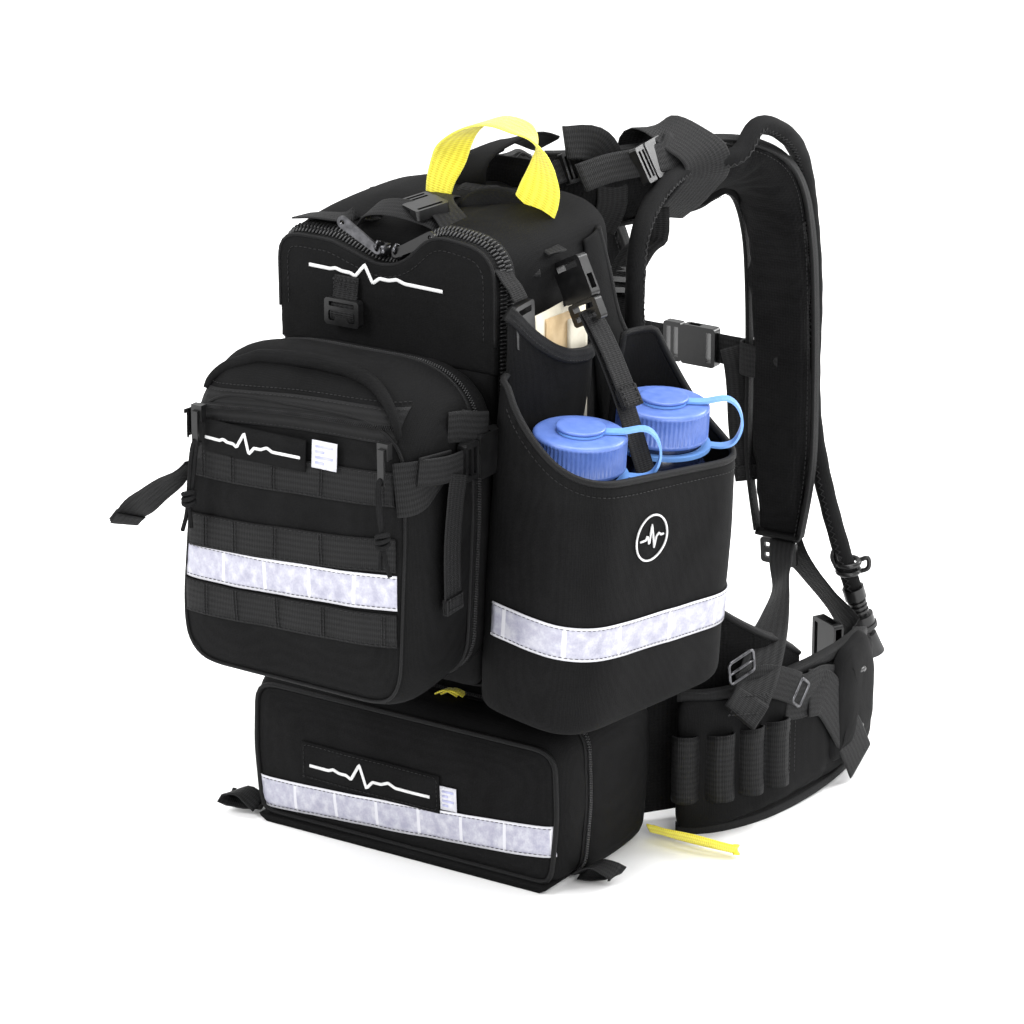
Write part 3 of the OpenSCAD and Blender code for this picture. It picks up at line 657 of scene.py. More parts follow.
shell("main_bag", "root", heart[::-1],
      [(-79.5, 5.0), (-72, 3.6), (-55, 1), (-35, 0), (-12, 0), (12, 0), (36, 0), (52, 1), (59, 6)], 1.0,
      nodes=("main_shell",), wrinkle=0.9, fold=60, steps=6, seed=3.1, warp=main_warp)
shell("main_lower_panel", "root", lower_line, [(-80.2, 5.6), (-86, 4.8), (-89, 8)], 1.0, wrinkle=0.6,
      fold=55, steps=7, seed=1.2)
main_flap = shell("main_flap_panel", None, flap_line, [(-80.5, 4.6), (-86.5, 3.6), (-90, 5.4)], 0.5,
                  wrinkle=0.5, fold=46, steps=12, seed=1.2, thick=4)
freeze(main_flap)
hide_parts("main_flap")
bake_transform(main_flap)

top_ring = ring_path(heart, -77.0, 2.6)
start = min(range(len(top_ring)),
            key=lambda i: abs(top_ring[i][2] - 300) + (0 if top_ring[i][0] > 0 else 999))
around = top_ring[start:] + top_ring[:start]
stop = min(range(len(around)), key=lambda i: abs(around[i][2] - 300) + (0 if around[i][0] < 0 else 999))
zip_run = around[:stop + 1]


def outward(q):
    """Direction in which the main zip faces."""
    return vec(q[0] * 0.9, -45.0, max(q[2] - 400, 0) * 1.2)


zipper("main_zip_coil", "root", zip_run, outward, width=11.0, pitch=3.0, tape=8.0, nodes=("main_zip",))
piping("main_zip_piping", "root", [q + vec(0, 8.5, 0) for q in zip_run], 1.9)
piping("flap_piping", "main_flap", [q for q in ring_path(flap_line, -88.6, 4.6, (0.2, 1.0)) if q[2] > 416],
       1.4)


def main_sliders():
    """The main zip's two sliders, which meet at the top."""
    b = Build()
    for s in (-1, 1):
        c = vec(8 * s, -85, 473)
        b.grid([[c + vec(x * w, y, z)
                 for x, z in ((-5, -3.4), (5, -3.4), (5.4, 0), (4, 3.4), (-4, 3.4), (-5.4, 0))]
                for y, w in ((-3, 0.6), (-1, 1), (7, 1), (10, 0.8))], True, None, 0, ends=True)
        b.tube([c + vec(0, -4, 1), c + vec(0, -6.5, 4), c + vec(0, -3, 7), c + vec(0, 3, 5),
                c + vec(0, 5, 2)], 1.3, 8)
    piece(b.done("main_sliders", METAL), "root", "pull_metal")


main_sliders()

# ---------- front pouch ----------

pouch_line = rounded([(-99, 181, 36), (90, 179, 36), (96, 300, 300), (97, 419, 76), (-96, 417, 60),
                      (-99, 300, 300)], 150)


def pouch_top(y):
    """Height of the front pouch's top at depth y."""
    return float(np.interp(y, [-210, -203, -190, -176, -163, -138, -118, -94],
                           [383, 388, 401, 411, 416, 412, 406, 401]))


def pouch_warp(q):
    """Top that rises and falls with depth, and a front that sags down and out at its lower left."""
    if q[2] > 300:
        q[2] = 300 + (q[2] - 300) * (pouch_top(q[1]) - 300) / 117
    sag = min(1.0, max(0.0, (-118 - q[1]) / 60))
    q[0] += 11 * sag * min(0.0, q[0]) / 100 * min(1.0, max(0.0, (340 - q[2]) / 110))
    q[2] -= 7 * sag * min(1.0, max(0.0, (240 - q[2]) / 50))
    return q


pouch_front = shell("pouch_front_bag", "pouch_front", pouch_line,
                    [(-118.4, 0.4), (-123, -0.5), (-134, -2.0), (-150, -2.6), (-166, -2.6), (-181, -1.5),
                     (-192, 1.5), (-199, 6.5)], 7.5, nodes=("pouch_front",), warp=pouch_warp, wrinkle=2.0,
                    fold=44, steps=12, puckers=0.7, seed=7.7, power=2.6)
shell("pouch_back_bag", "root", pouch_line[::-1], [(-117.4, 0.6), (-112, 0), (-104, 0.5), (-97, 3)], 0.8,
      nodes=("pouch_back",), warp=pouch_warp, wrinkle=0.8, seed=9.1, steps=6)

pouch_ring = [pouch_warp(q) for q in ring_path(pouch_line, -117.9, -1.0)]
zipper("pouch_zip_coil", "root", pouch_ring[22:-8],
       lambda q: vec(q[0], 0.0, q[2] - 300), width=4.2, pitch=1.9, tape=5.5)
piping("pouch_front_piping", "pouch_front", [pouch_warp(q) for q in ring_path(pouch_line, -198.8, 6.2)],
       1.3, True)
piping("pouch_zip_piping", "pouch_front", [pouch_warp(q) for q in ring_path(pouch_line, -125.5, -1.9)], 1.5,
       True)

face = evaluated(pouch_front)


def sheet_rows(x0, x1, z0, z1, nx, nz, y=-215.0, slope=0.0):
    """Rows of points across a front face: each row runs up from z0 to z1."""
    return [[vec(x, y, z + slope * (x - x0)) for z in np.linspace(z0, z1, nz)]
            for x in np.linspace(x0, x1, nx)]


ROWS = ((334, 0.045, -93), (280, 0.072, -98), (229, 0.042, -101))
for k, (z, slope, x0) in enumerate(ROWS):
    applique("pouch_row_%d" % (k + 1), "pouch_front", face,
             sheet_rows(x0, 83.5, z - 12.5, z + 12.5, 60, 6, slope=slope), FRONT, 1.0, 1.5, WEBBING,
             "webbing", () if k else ("pouch_webbing",))
applique("pouch_reflective", "pouch_front", face, sheet_rows(-101, 84, 243, 269, 60, 6, slope=0.05), FRONT,
         1.2, 0.6, TAPE, "reflective_tape", ("pouch_tape",),
         scale=lambda i, j: ((j / 5 - 0.5) * 2, i * 185 / 59 / 10))


def pouch_stitching():
    """Seams of the webbing rows and of the reflective band."""
    b = Build()
    for z, slope, x0 in ROWS:
        for x in (-80, -52, -16, 24, 74):
            up = z + slope * (x - x0)
            line = lay(face, [[vec(x, -215.0, zz) for zz in np.linspace(up - 11, up + 11, 6)]], FRONT, 2.2)[0]
            for d in (-1.2, 1.2):
                b.stitches([q + vec(d, 0, 0) for q in line], -FRONT, 2.2, 2.0, 0.7, 0.0)
        for e in (-11.3, 11.3):
            line = lay(face,
                       [[vec(x, -215.0, z + e + slope * (x - x0)) for x in np.linspace(x0 + 1, 82, 40)]],
                       FRONT, 2.0)[0]
            b.stitches(line, -FRONT, 4.2, 2.8, 0.5, 0.0)
    for z in (245, 267):
        line = lay(face, [[vec(x, -215.0, z + 0.05 * (x + 101)) for x in np.linspace(-99, 82, 40)]], FRONT,
                   1.6)[0]
        b.stitches(line, -FRONT, 4.0, 2.6, 0.45, 0.0)
    piece(b.done("pouch_stitching", THREAD), "pouch_front", "webbing")


pouch_stitching()


def arch_rows(x0, x1, heights, n=40):
    """Rows of points across the pouch, along its pocket's slightly arched zip."""
    return [[vec(x, -215.0, z - 3 * (x / 80) ** 2 + 0.06 * (x + 66)) for z in heights]
            for x in np.linspace(x0, x1, n)]


def pouch_pocket():
    """The zip across the pouch, on its tape."""
    applique("pocket_zip_tape", "pouch_front", face,
             arch_rows(-86, 83, (368, 372, 376, 380, 384, 388, 391)), FRONT, 0.9, 0.9, BINDING, "zip_teeth")
    zip_line = [q[0] for q in lay(face, arch_rows(-84, 80, (379,)), FRONT, 1.6)]
    zipper("pocket_zip_coil", "pouch_front", zip_line, -FRONT, width=3.0, pitch=1.6, tape=2.2, teeth=THREAD)
    b = Build()
    for z in (369.5, 389.5, 394):
        b.stitches([q[0] for q in lay(face, arch_rows(-84, 81, (z,)), FRONT, 1.5)], -FRONT, 3.6, 2.4, 0.5,
                   0.0)
    piece(b.done("pocket_stitching", THREAD), "pouch_front", "nylon_cloth")


pouch_pocket()


def brow_roll():
    """The roll of cloth along the front pouch's upper edge."""
    b = Build()
    roll = resample(smooth([(-86, -191, 384), (-84, -187, 391), (-74, -183, 400), (-50, -179, 410),
                            (-30, -178, 413), (-2, -178, 415), (28, -179, 414), (54, -184, 409),
                            (68, -190, 402), (80, -196, 391), (86, -199, 378)], 6), 3.0)[0]
    b.tube([q + vec(0, crease(q, 24, 17) * 0.8, crease(q, 24, 18) * 0.8) for q in roll],
           np.array([1.4 + 4.2 * sin(pi * min(1, max(0, (i + 1) / len(roll)))) ** 0.5
                     for i in range(len(roll))]), 14)
    piece(b.done("pouch_brow_roll", NYLON), "pouch_front", "nylon_cloth")


brow_roll()

applique("pouch_name_panel", "pouch_front", face, sheet_rows(-80, 12, 344, 367, 24, 6), FRONT, 3.2, 1.4,
         NYLON, "nylon_cloth")


def label(name, body, tree, x, z, w, h, y=-215.0, lift=4.4):
    """Small woven label with faint plain blocks and no lettering."""
    applique(name, body, tree, sheet_rows(x, x + w, z, z + h, 6, 6, y), FRONT, lift, 0.7, LABEL,
             "reflective_tape")
    b = Build()
    for k in range(4):
        line = lay(tree,
                   [[vec(xx, y, z + h * (0.2 + 0.2 * k))
                     for xx in (x + w * 0.15, x + w * (0.5, 0.85)[k % 2])]], FRONT, lift + 0.6)[0]
        b.band(line, (0, 0, 1), h * 0.09, 0.4)
    piece(b.done(name + "_bars", SLATE), body, "reflective_tape")


def pulse(name, body, tree, x0, x1, z, tall, y=-215.0, lift=4.4, size=2.2, slope=0.0):
    """Generic heartbeat line in white embroidery."""
    beat = [(0, 0), (0.16, 0), (0.2, 0.16), (0.25, 0), (0.31, 0), (0.35, -0.22), (0.42, 1), (0.48, -0.55),
            (0.53, 0), (0.6, 0), (0.66, 0.24), (0.72, 0), (1, 0)]
    pts = [vec(x0 + (x1 - x0) * u, y, z + v * tall + slope * (x1 - x0) * u) for u, v in beat]
    line = lay(tree, [resample(pts, 1.5)[0]], FRONT, lift)[0]
    b = Build()
    b.band(line, vec(0.3, 0, 1.0), size, 0.9, cells=2)
    t = tangents(line)
    for off in (-1, 1):
        side = np.cross(t, -FRONT) * off * (size / 2 - 0.2)
        b.tube(np.array(line) + side, 0.45, 5)
    piece(b.done(name, SILK), body, "reflective_tape")


pulse("pouch_emblem_line", "pouch_front", face, -76, 8, 354, 9, size=1.8)
label("pouch_label", "pouch_front", face, 18, 349, 21, 20)

flap_face = evaluated(main_flap)
pulse("flap_emblem_line", "main_flap", flap_face, -66, 50, 455, 8, y=-100, lift=0.7, size=2.2, slope=-0.02)
b = Build()
line = [q for q in ring_path(flap_line, -100, 13, (0.2, 1.0)) if q[2] > 420]
b.stitches(lay(flap_face, [resample(line, 6)[0]], FRONT, 0.2)[0], -FRONT, 4.2, 2.8, 0.6, 0.0)
piece(b.done("flap_stitching", THREAD), "main_flap", "nylon_cloth")

# ---------- lumbar pack ----------

lumbar_line = rounded([(-134, 0.6, 18), (134, 0.6, 18), (139, 60, 200), (137, 122, 22), (-137, 122, 22),
                       (-139, 60, 200)], 150)


def lumbar_warp(q):
    """A top that falls towards the front, over a squeezed and raised lower edge."""
    low = float(np.interp(q[1], [-36, -34], [6.0, 0.8]))
    high = float(np.interp(q[1], [-82, -76, -64, -40], [108, 112, 121, 122]))
    up = max(0.0, q[2] - 0.6)
    q[2] = low + up * min(1.0, up / 12 if q[1] < -36 else 1.0) * (high - low) / 121.4
    q[2] = max(q[2], low - 0.3)
    return q


lumbar_front = shell("lumbar_front_bag", "lumbar_front", lumbar_line,
                     [(-35.4, 0.3), (-41, -0.6), (-50, -1.4), (-60, -1.0), (-68, 1.5), (-74, 5.5)], 5.5,
                     nodes=("lumbar_front",), warp=lumbar_warp, wrinkle=1.5, fold=48, steps=10, puckers=0.7,
                     seed=12.4, power=2.6)
shell("lumbar_bag", "root", lumbar_line[::-1],
      [(-34.4, 0.3), (-28, -0.4), (-12, -1.0), (8, -1.0), (28, -0.6), (46, 0.5), (57, 5)], 1.0,
      nodes=("lumbar_shell",), warp=lumbar_warp, wrinkle=1.3, fold=52, steps=6, seed=14.9)
b = Build()
b.grid([[vec(x, y, z) for x, z in ((-124, 0.3), (124, 0.3), (129, 3), (131, 5.5), (-131, 5.5), (-129, 3))]
        for y in np.linspace(-78, -34, 8)], True, ends=True)
piece(b.done("lumbar_base_panel", NYLON), "root", "nylon_cloth")

seam = [lumbar_warp(q) for q in ring_path(lumbar_line, -35, -1.2)]
zipper("lumbar_zip_coil", "root", seam[22:-6], lambda q: vec(q[0] * 0.5, 0.0, q[2] - 60), width=4.2,
       pitch=1.9, tape=5.0)
piping("lumbar_front_piping", "lumbar_front", [lumbar_warp(q) for q in ring_path(lumbar_line, -72.6, 3.3)],
       2.1, True)
lumbar_face = evaluated(lumbar_front)
applique("lumbar_reflective", "lumbar_front", lumbar_face, sheet_rows(-134, 134, 11, 36, 70, 6, -90, 0.067),
         FRONT, 1.2, 0.6, TAPE, "reflective_tape", ("lumbar_tape",),
         scale=lambda i, j: ((j / 5 - 0.5) * 2, i * 268 / 69 / 10))
applique("lumbar_name_panel", "lumbar_front", lumbar_face, sheet_rows(-88, 38, 45, 75, 26, 6, -90), FRONT,
         1.4, 1.4, NYLON, "nylon_cloth")
pulse("lumbar_emblem_line", "lumbar_front", lumbar_face, -80, 30, 57, 11, y=-90, lift=2.6, size=2.0)
label("lumbar_label", "lumbar_front", lumbar_face, 39, 49, 14, 19, -90, 1.6)


def lumbar_stitching():
    """Seams of the reflective band and of the name panel."""
    b = Build()
    for e in (2, 23):
        line = lay(lumbar_face,
                   [[vec(x, -90.0, 11 + e + 0.067 * (x + 134)) for x in np.linspace(-131, 131, 50)]], FRONT,
                   1.7)[0]
        b.stitches(line, -FRONT, 4.0, 2.6, 0.45, 0.0)
    box = [vec(x, -90.0, z) for x, z in ((-86, 47), (36, 47), (36, 73), (-86, 73), (-86, 47))]
    b.stitches(lay(lumbar_face, [resample(box, 5)[0]], FRONT, 2.4)[0], -FRONT, 3.8, 2.6, 0.5, 0.0)
    piece(b.done("lumbar_stitching", THREAD), "lumbar_front", "webbing")


lumbar_stitching()

# ---------- holster and bottles ----------

TURN, LEAN = radians(-8), radians(4.5)
HOLSTER = np.array([[cos(TURN), -sin(TURN), 0], [sin(TURN), cos(TURN), 0], [0, 0, 1]]) @ np.array(
    [[cos(LEAN), 0, sin(LEAN)], [0, 1, 0], [-sin(LEAN), 0, cos(LEAN)]])
HOLSTER_AT = vec(152.0, -24, 260)
HOLSTER_FLOOR = -112.0


def in_holster(*q):
    """Point given in the leaning holster's own frame."""
    return HOLSTER_AT + HOLSTER @ np.array(q, float)


def holster_rim(x, y):
    """Height of the holster's mouth: low outside, high at the pack's front corner, low against the pack."""
    scoop = min(184 - 0.1228 * y - sqrt(max(0.0, 112.0 ** 2 - (x - 64) ** 2)), 138.0)
    inner = max(0.0, min(1.0, (-26 - x) / 8)) * max(0.0, min(1.0, (y + 72) / 10)) * max(0.0,
        min(1.0, (56 - y) / 10))
    return scoop * (1 - inner) + 46 * inner


plan = rounded([(-50, -96.6, 34), (50, -96.6, 40), (50, 96.6, 44), (-50, 96.6, 40)], 132)[::-1]
rows = []
for f in np.linspace(1, 0, 26):
    row = []
    for k, (x, y) in enumerate(plan):
        low = HOLSTER_FLOOR + 7
        z = low + f * (holster_rim(x, y) - low)
        out = unit(vec(x, y * 0.6))
        fold = crease((x * 0.8, y, z), 42, 20.5) * 1.3 * min(1, (1 - f) * 6 + 0.15) + 1.2 * sin(pi * f)
        row.append(in_holster(x + out[0] * fold, y + out[1] * fold, z))
    rows.append(row)
for inset, z in ((2, HOLSTER_FLOOR + 2.5), (7, HOLSTER_FLOOR), (22, HOLSTER_FLOOR), (36, HOLSTER_FLOOR)):
    rows.append([in_holster(x, y, z) for x, y in offset(plan, inset)])
b = Build()
b.grid(rows, True)
b.close_last(len(plan))
holster = b.done("holster_bag", [NYLON, LINING])
modifier(holster, "SOLIDIFY", thickness=3.2 * MM, offset=-1, material_offset=1)
soften(holster)
piece(holster, "root", "nylon_cloth", "bottle_holster")
piping("holster_rim_binding", "root", [in_holster(x * 0.97, y * 0.985, holster_rim(x, y)) for x, y in plan],
       2.7, True)

bag = evaluated(holster)
INNER = HOLSTER @ vec(1.0, 0, 0)
first = next(i for i in range(len(plan)) if plan[i][0] <= -30 and plan[(i + 1) % len(plan)][0] > -30)
order = [(first + 1 + i) % len(plan) for i in range(len(plan)) if plan[(first + 1 + i) % len(plan)][0] > -30]
band_plan = np.array([plan[i] for i in order])


def toward(q):
    """Direction from q to the holster's core."""
    local = HOLSTER.T @ (np.array(q, float) - HOLSTER_AT)
    core = vec(0.0, max(-46.0, min(46.0, local[1])), local[2])
    return unit(HOLSTER @ (core - local))


def band_rows(z_low, z_high, tilt, n=6):
    """Rows of points round the holster's outside, between two heights."""
    return [[in_holster(x * 1.3, y * 1.15, z + tilt * y) for z in np.linspace(z_low, z_high, n)]
            for x, y in band_plan]


applique("holster_reflective", "root", bag, band_rows(-58, -32, -0.09), toward, 1.2, 0.6, TAPE,
         "reflective_tape", ("holster_tape",), scale=lambda i, j: ((j / 5 - 0.5) * 2, i * 0.3))


def holster_stitching():
    """Seams of the reflective band and of the rim."""
    b = Build()
    for z in (-56, -34):
        line = lay(bag, band_rows(z, z, -0.09, 1), toward, 1.6)
        b.stitches([q[0] for q in line], [-toward(q[0]) for q in line], 4.0, 2.6, 0.45, 0.0)
    line = lay(bag, [[in_holster(x * 1.3, y * 1.15, holster_rim(x, y) - 9)] for x, y in band_plan], toward,
               0.2)
    b.stitches([q[0] for q in line], [-toward(q[0]) for q in line], 4.2, 2.8, 0.6, 0.0)
    piece(b.done("holster_stitching", THREAD), "root", "nylon_cloth")


holster_stitching()


def holster_emblem():
    """A pulse line in a ring: a generic medical sign."""
    centre = vec(50.0, -22.0, 30.0)
    ring_pts = [[in_holster(70, centre[1] + 17 * cos(a), centre[2] + 17 * sin(a))]
                for a in np.linspace(0, 2 * pi, 60)]
    ring_line = [q[0] for q in lay(bag, ring_pts, -INNER, 0.6)]
    b = Build()
    b.tube(ring_line[:-1], 0.8, 6, True)
    beat = [(-13, 0), (-7, 0), (-5, 3), (-3, -4), (0, 10), (3, -8), (5, 0), (8, 2), (10, 0), (13, 0)]
    line = lay(bag,
               [[in_holster(70, centre[1] + u, centre[2] + v)]
                for u, v in resample([np.array(q, float) for q in beat], 1.5)[0]], -INNER, 0.6)
    b.tube([q[0] for q in line], 0.8, 6)
    piece(b.done("holster_emblem_ring", SILK), "root", "reflective_tape")


holster_emblem()


def revolve(profile, ribs, place, name, mat, body, slot, *nodes):
    """Turned shape from (radius, height, rib depth) rows, set in place by a function."""
    n = ribs * 4
    b = Build()
    b.grid([[place(*((r - d * (0, 0.7, 1, 0.7)[k % 4]) * vec(cos(2 * pi * k / n), sin(2 * pi * k / n))), z)
             for k in range(n)] for r, z, d in profile], True)
    piece(b.done(name, mat), body, slot, *nodes)


CAP_PROFILE = [(0.2, 206.6, 0), (29.2, 206.6, 0), (29.2, 184.4, 0), (31.5, 184, 0), (33.4, 184.3, 0),
               (34, 185.4, 0), (34, 187, 0), (34, 187.6, 1.3), (34, 197, 1.3), (34, 206, 1.3),
               (34, 206.6, 0.2), (33.6, 208.6, 0), (32.2, 209.8, 0), (30, 210, 0), (24, 210, 0),
               (8.4, 210, 0), (8, 210.3, 0), (8, 212.2, 0), (17.2, 212.6, 0), (18, 213.2, 0),
               (17.8, 214.4, 0), (16.8, 215, 0), (14.5, 214.6, 0), (6, 214.5, 0), (0.2, 214.5, 0)]
for s, spot in ((-1, "front"), (1, "rear")):
    revolve(CAP_PROFILE, 62, lambda x, y, z, s=s: in_holster(x, y + s * 46.6, z - 108.2),
            "cap_ribbed_" + spot, CAP, "cap_" + spot, "bottle_cap", "cap_" + spot)

# ---------- pockets on the sides ----------


def side_pocket():
    """The open pocket between the pack and the holster, with its bound rim."""
    EDGE = [(118, -96, 452), (118, -69, 426), (119, -40, 409), (120, -12, 402), (118, 14, 398)]
    edge = smooth(EDGE, 6)
    rows = []
    for f in np.linspace(0, 1, 12):
        row = []
        for i, top in enumerate(edge):
            u = i / (len(edge) - 1)
            x_low = 104 + 9 * sin(pi * min(1, u * 1.1)) ** 0.7
            x_top = 101.5 + (top[0] - 101.5) * sin(pi * min(1.0, 0.06 + u * 0.94) * 0.9) ** 0.6
            z = 316 + f * (top[2] - 316)
            q = vec(x_low + (x_top - x_low) * f, top[1], z)
            q[0] += crease(q, 30, 31) * 1.4
            row.append(q)
        rows.append(row)
    b = Build()
    b.grid(rows)
    ob = b.done("paper_pocket", NYLON)
    modifier(ob, "SOLIDIFY", thickness=1.8 * MM, offset=0)
    soften(ob)
    piece(ob, "root", "nylon_cloth", "side_pocket")
    b = Build()
    b.band([q + vec(0, 0, -4.5) for q in rows[-1]], (0, 0, 1), 11, 4.4)
    b.stitches([q + vec(2.6, 0, -8) for q in rows[-1]], (1, -0.2, 0), 4, 2.8, 0.6, 0.0, 1)
    piece(b.done("paper_pocket_binding", [BINDING, THREAD]), "root", "nylon_cloth")


side_pocket()


def papers():
    """Loose papers, and the notebook's pages."""
    sheets = ((107.2, -60, -22, 436, 0.05), (108.6, -48, -8, 431, -0.04),
              (110.0, -20, 6, 424, 0.02), (106.4, -30, 9, 433, 0.0))
    for k, (x, y0, y1, z, lean) in enumerate(sheets):
        b = Build()
        for leaf in range(3):
            xx = x + leaf * 0.42
            b.grid([[vec(xx + 0.5 * sin((y - y0) * 0.09 + leaf), y, zz + lean * (y - y0))
                     for zz in (330, 360, 400, z - leaf * 1.4)] for y in np.linspace(y0, y1, 9)])
        ob = b.done("field_papers_%d" % (k + 1), PAPER if k != 1 else KRAFT)
        modifier(ob, "SOLIDIFY", thickness=0.3 * MM, offset=0)
        piece(ob, "root", "paper_sheets")
    b = Build()
    for leaf in range(4):
        x = 103.5 + leaf * 0.38
        b.grid([[vec(x, y, z) for z in (322, 350, 390, 433.6 - (leaf % 2) * 0.8)]
                for y in np.linspace(-56.5, -32.4 + leaf * 0.12, 8)])
    ob = b.done("notebook_pages", PAPER)
    modifier(ob, "SOLIDIFY", thickness=0.22 * MM, offset=0)
    piece(ob, "notebook", "paper_sheets", "notebook")


papers()


def left_pocket():
    """The closed pocket on the left side."""
    left_line = rounded([(-66, 212, 12), (38, 212, 12), (40, 378, 8), (-70, 378, 8)], 90)
    rows = []
    for x, inset in ((-101.0, 0), (-106, -0.5), (-111, 1.2), (-113.5, 5)):
        rows.append([vec(x + crease((x, q[0], q[1]), 30, 41) * 0.8, q[0], q[1])
                     for q in offset(left_line, inset)])
    core = left_line.mean(axis=0)
    for s in (0.8, 0.6, 0.4, 0.2, 0.001):
        rows.append([vec(-114 - 2 * (1 - s * s) + crease((0, *(core + (q - core) * s)), 34, 43) * 1.2,
                         *(core + (q - core) * s)) for q in offset(left_line, 5)])
    b = Build()
    b.grid([r[::-1] for r in rows], True)
    ob = b.done("left_pocket_bag", NYLON)
    modifier(ob, "SOLIDIFY", thickness=1.6 * MM, offset=1)
    soften(ob)
    piece(ob, "root", "nylon_cloth", "left_pocket")
    zipper("left_pocket_zip", "root", [vec(-115.6, y, 352.0) for y in np.linspace(-60, 32, 12)],
           vec(-1.0, 0, 0), 5.0, 2.2, 6.0)


left_pocket()


def wing_panels():
    """Padded panels at the rear of both sides, with their piped edges."""
    back_edge = smooth([(99, 37, 478), (101, 50, 440), (103, 60, 406), (106, 83, 367), (108, 102, 320)], 5)
    rows = []
    for i, q in enumerate(back_edge):
        f = i / (len(back_edge) - 1)
        inner = vec(100.6, 14 + 26 * f, q[2] - 4)
        row = []
        for u in np.linspace(0, 1, 9):
            p = inner + (q - inner) * u
            p[0] += 3.2 * sin(pi * u) * (0.4 + 0.6 * f) + crease(p, 28, 51) * 1.0
            row.append(p)
        rows.append(row)
    for s, nodes in ((1, ("side_wing",)), (-1, ())):
        flip = vec(s, 1, 1)
        b = Build()
        b.grid([[q * flip for q in row] for row in rows])
        ob = b.done("wing_panel_" + ("right" if s > 0 else "left"), NYLON)
        modifier(ob, "SOLIDIFY", thickness=2.6 * MM, offset=0)
        soften(ob)
        piece(ob, "root", "nylon_cloth", *nodes)
        piping("wing_piping_" + ("right" if s > 0 else "left"), "root", [q * flip for q in back_edge], 3.0)


wing_panels()

# ---------- pads ----------

PAD_LINE = arr([14, 89, 482], [48, 122, 480], [80, 204, 478], [91, 256, 471], [91, 298, 448],
               [88, 324, 405], [85, 337, 350], [85, 340, 280], [85, 340, 210], [85, 340, 148])
PAD_WIDE = arr([0, 0, 1], [.1, 0, 1], [.3, 0, 1], [.75, 0, .8], [1, 0, .35], [1, 0, .05], [1, 0, 0],
               [1, 0, 0], [1, 0, 0], [1, 0, 0])
PAD_SAG = [0, .5, 1, 1, .8, .4, .1, 0, 0, 0]
PAD_W = [56, 60, 62, 62, 62, 62, 62, 62, 60, 40]
WING_LINE = arr([146, 74, 0], [170, 92, 0], [188, 130, 0], [197, 180, 0], [198, 235, 0], [190, 285, 0],
                [170, 322, 0])


class Guide:
    """Centre line of a pad, with the directions of its width and depth."""

    def __init__(self, line, wide, widths, mirror=False, k=6):
        flip = vec(-1.0 if mirror else 1.0, 1, 1)
        self.p = np.array(smooth(line, k)) * flip
        self.t = tangents(self.p)
        u = np.array(smooth(wide, k)) * flip
        u = u - np.sum(u * self.t, axis=1, keepdims=True) * self.t
        self.u = u / norm(u, axis=1, keepdims=True)
        self.v = np.cross(self.t, self.u)
        self.w = np.array([w[0] for w in smooth(widths, k)]) / 2
        self.s = running(self.p)

    def at(self, s, across=0.0, off=0.0):
        """Point at distance s, across in half widths, off the middle surface by off."""
        f = [np.interp(s, self.s, a) for a in self.p.T]
        u = unit(np.array([np.interp(s, self.s, a) for a in self.u.T]))
        v = unit(np.array([np.interp(s, self.s, a) for a in self.v.T]))
        return np.array(f) + u * across * np.interp(s, self.s, self.w) + v * off

    def locate(self, q):
        """Distance along, half widths across, and height of the point q."""
        i = int(np.argmin(np.sum((self.p - q) ** 2, axis=1)))
        d = q - self.p[i]
        return self.s[i] + np.dot(d, self.t[i]), np.dot(d, self.u[i]) / self.w[i], np.dot(d, self.v[i])


pads = []


def puff(name, node, body, mat, slot, swell, fill, shape, voxel=5.0):
    """Padded copy of a CAD pad: remeshed, and blown up like cloth round foam in settle()."""
    ob = bpy.data.objects.new(name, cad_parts[node].data.copy())
    ob.data.name = name
    scene.collection.objects.link(ob)
    modifier(ob, "REMESH", mode="VOXEL", voxel_size=voxel * MM)
    modifier(ob, "SMOOTH", iterations=4, factor=0.6)
    modifier(ob, "DISPLACE", strength=-0.9 * MM, mid_level=0.0)
    freeze(ob)
    ob.data.materials.clear()
    ob.data.materials.append(mat)
    pads.append((ob, node, body, slot, swell, fill, shape))


def settle():
    """Runs one cloth simulation for all the pads, caps how far they swell, then sews their seams in."""
    rest = [np.array([v.co[:] for v in row[0].data.vertices]) for row in pads]
    for row in pads:
        cloth = modifier(row[0], "CLOTH")
        cloth.settings.quality = 4
        cloth.settings.mass = 0.2
        cloth.settings.tension_stiffness = 12
        cloth.settings.compression_stiffness = 12
        cloth.settings.bending_stiffness = 0.4
        cloth.settings.use_pressure = True
        cloth.settings.uniform_pressure_force = 4
        cloth.settings.effector_weights.gravity = 0
        cloth.point_cache.frame_end = 20
    for f in range(1, 21):
        scene.frame_set(f)
    for row in pads:
        freeze(row[0])
    scene.frame_set(1)
    for (ob, node, body, slot, swell, fill, shape), start in zip(pads, rest):
        now = np.array([v.co[:] for v in ob.data.vertices])
        step = now - start
        size = norm(step, axis=1, keepdims=True)
        now = start + step * np.minimum(1.0, swell * MM / np.maximum(size, 1e-9))
        ob.data.vertices.foreach_set("co", now.ravel())
        ob.data.update()
        normals = [np.array(v.normal) for v in ob.data.vertices]
        out = [c / MM + n * shape(c / MM) for c, n in zip(now, normals)]
        ob.data.vertices.foreach_set("co", (np.array(out) * MM).ravel())
        ob.data.polygons.foreach_set("use_smooth", [True] * len(ob.data.polygons))
        ob.data.update()
        soften(ob)
        piece(ob, body, slot, node)


def groove(distance, width, depth):
    """Offset that a seam makes at a distance from it."""
    return -depth * exp(-(distance / width) ** 2)


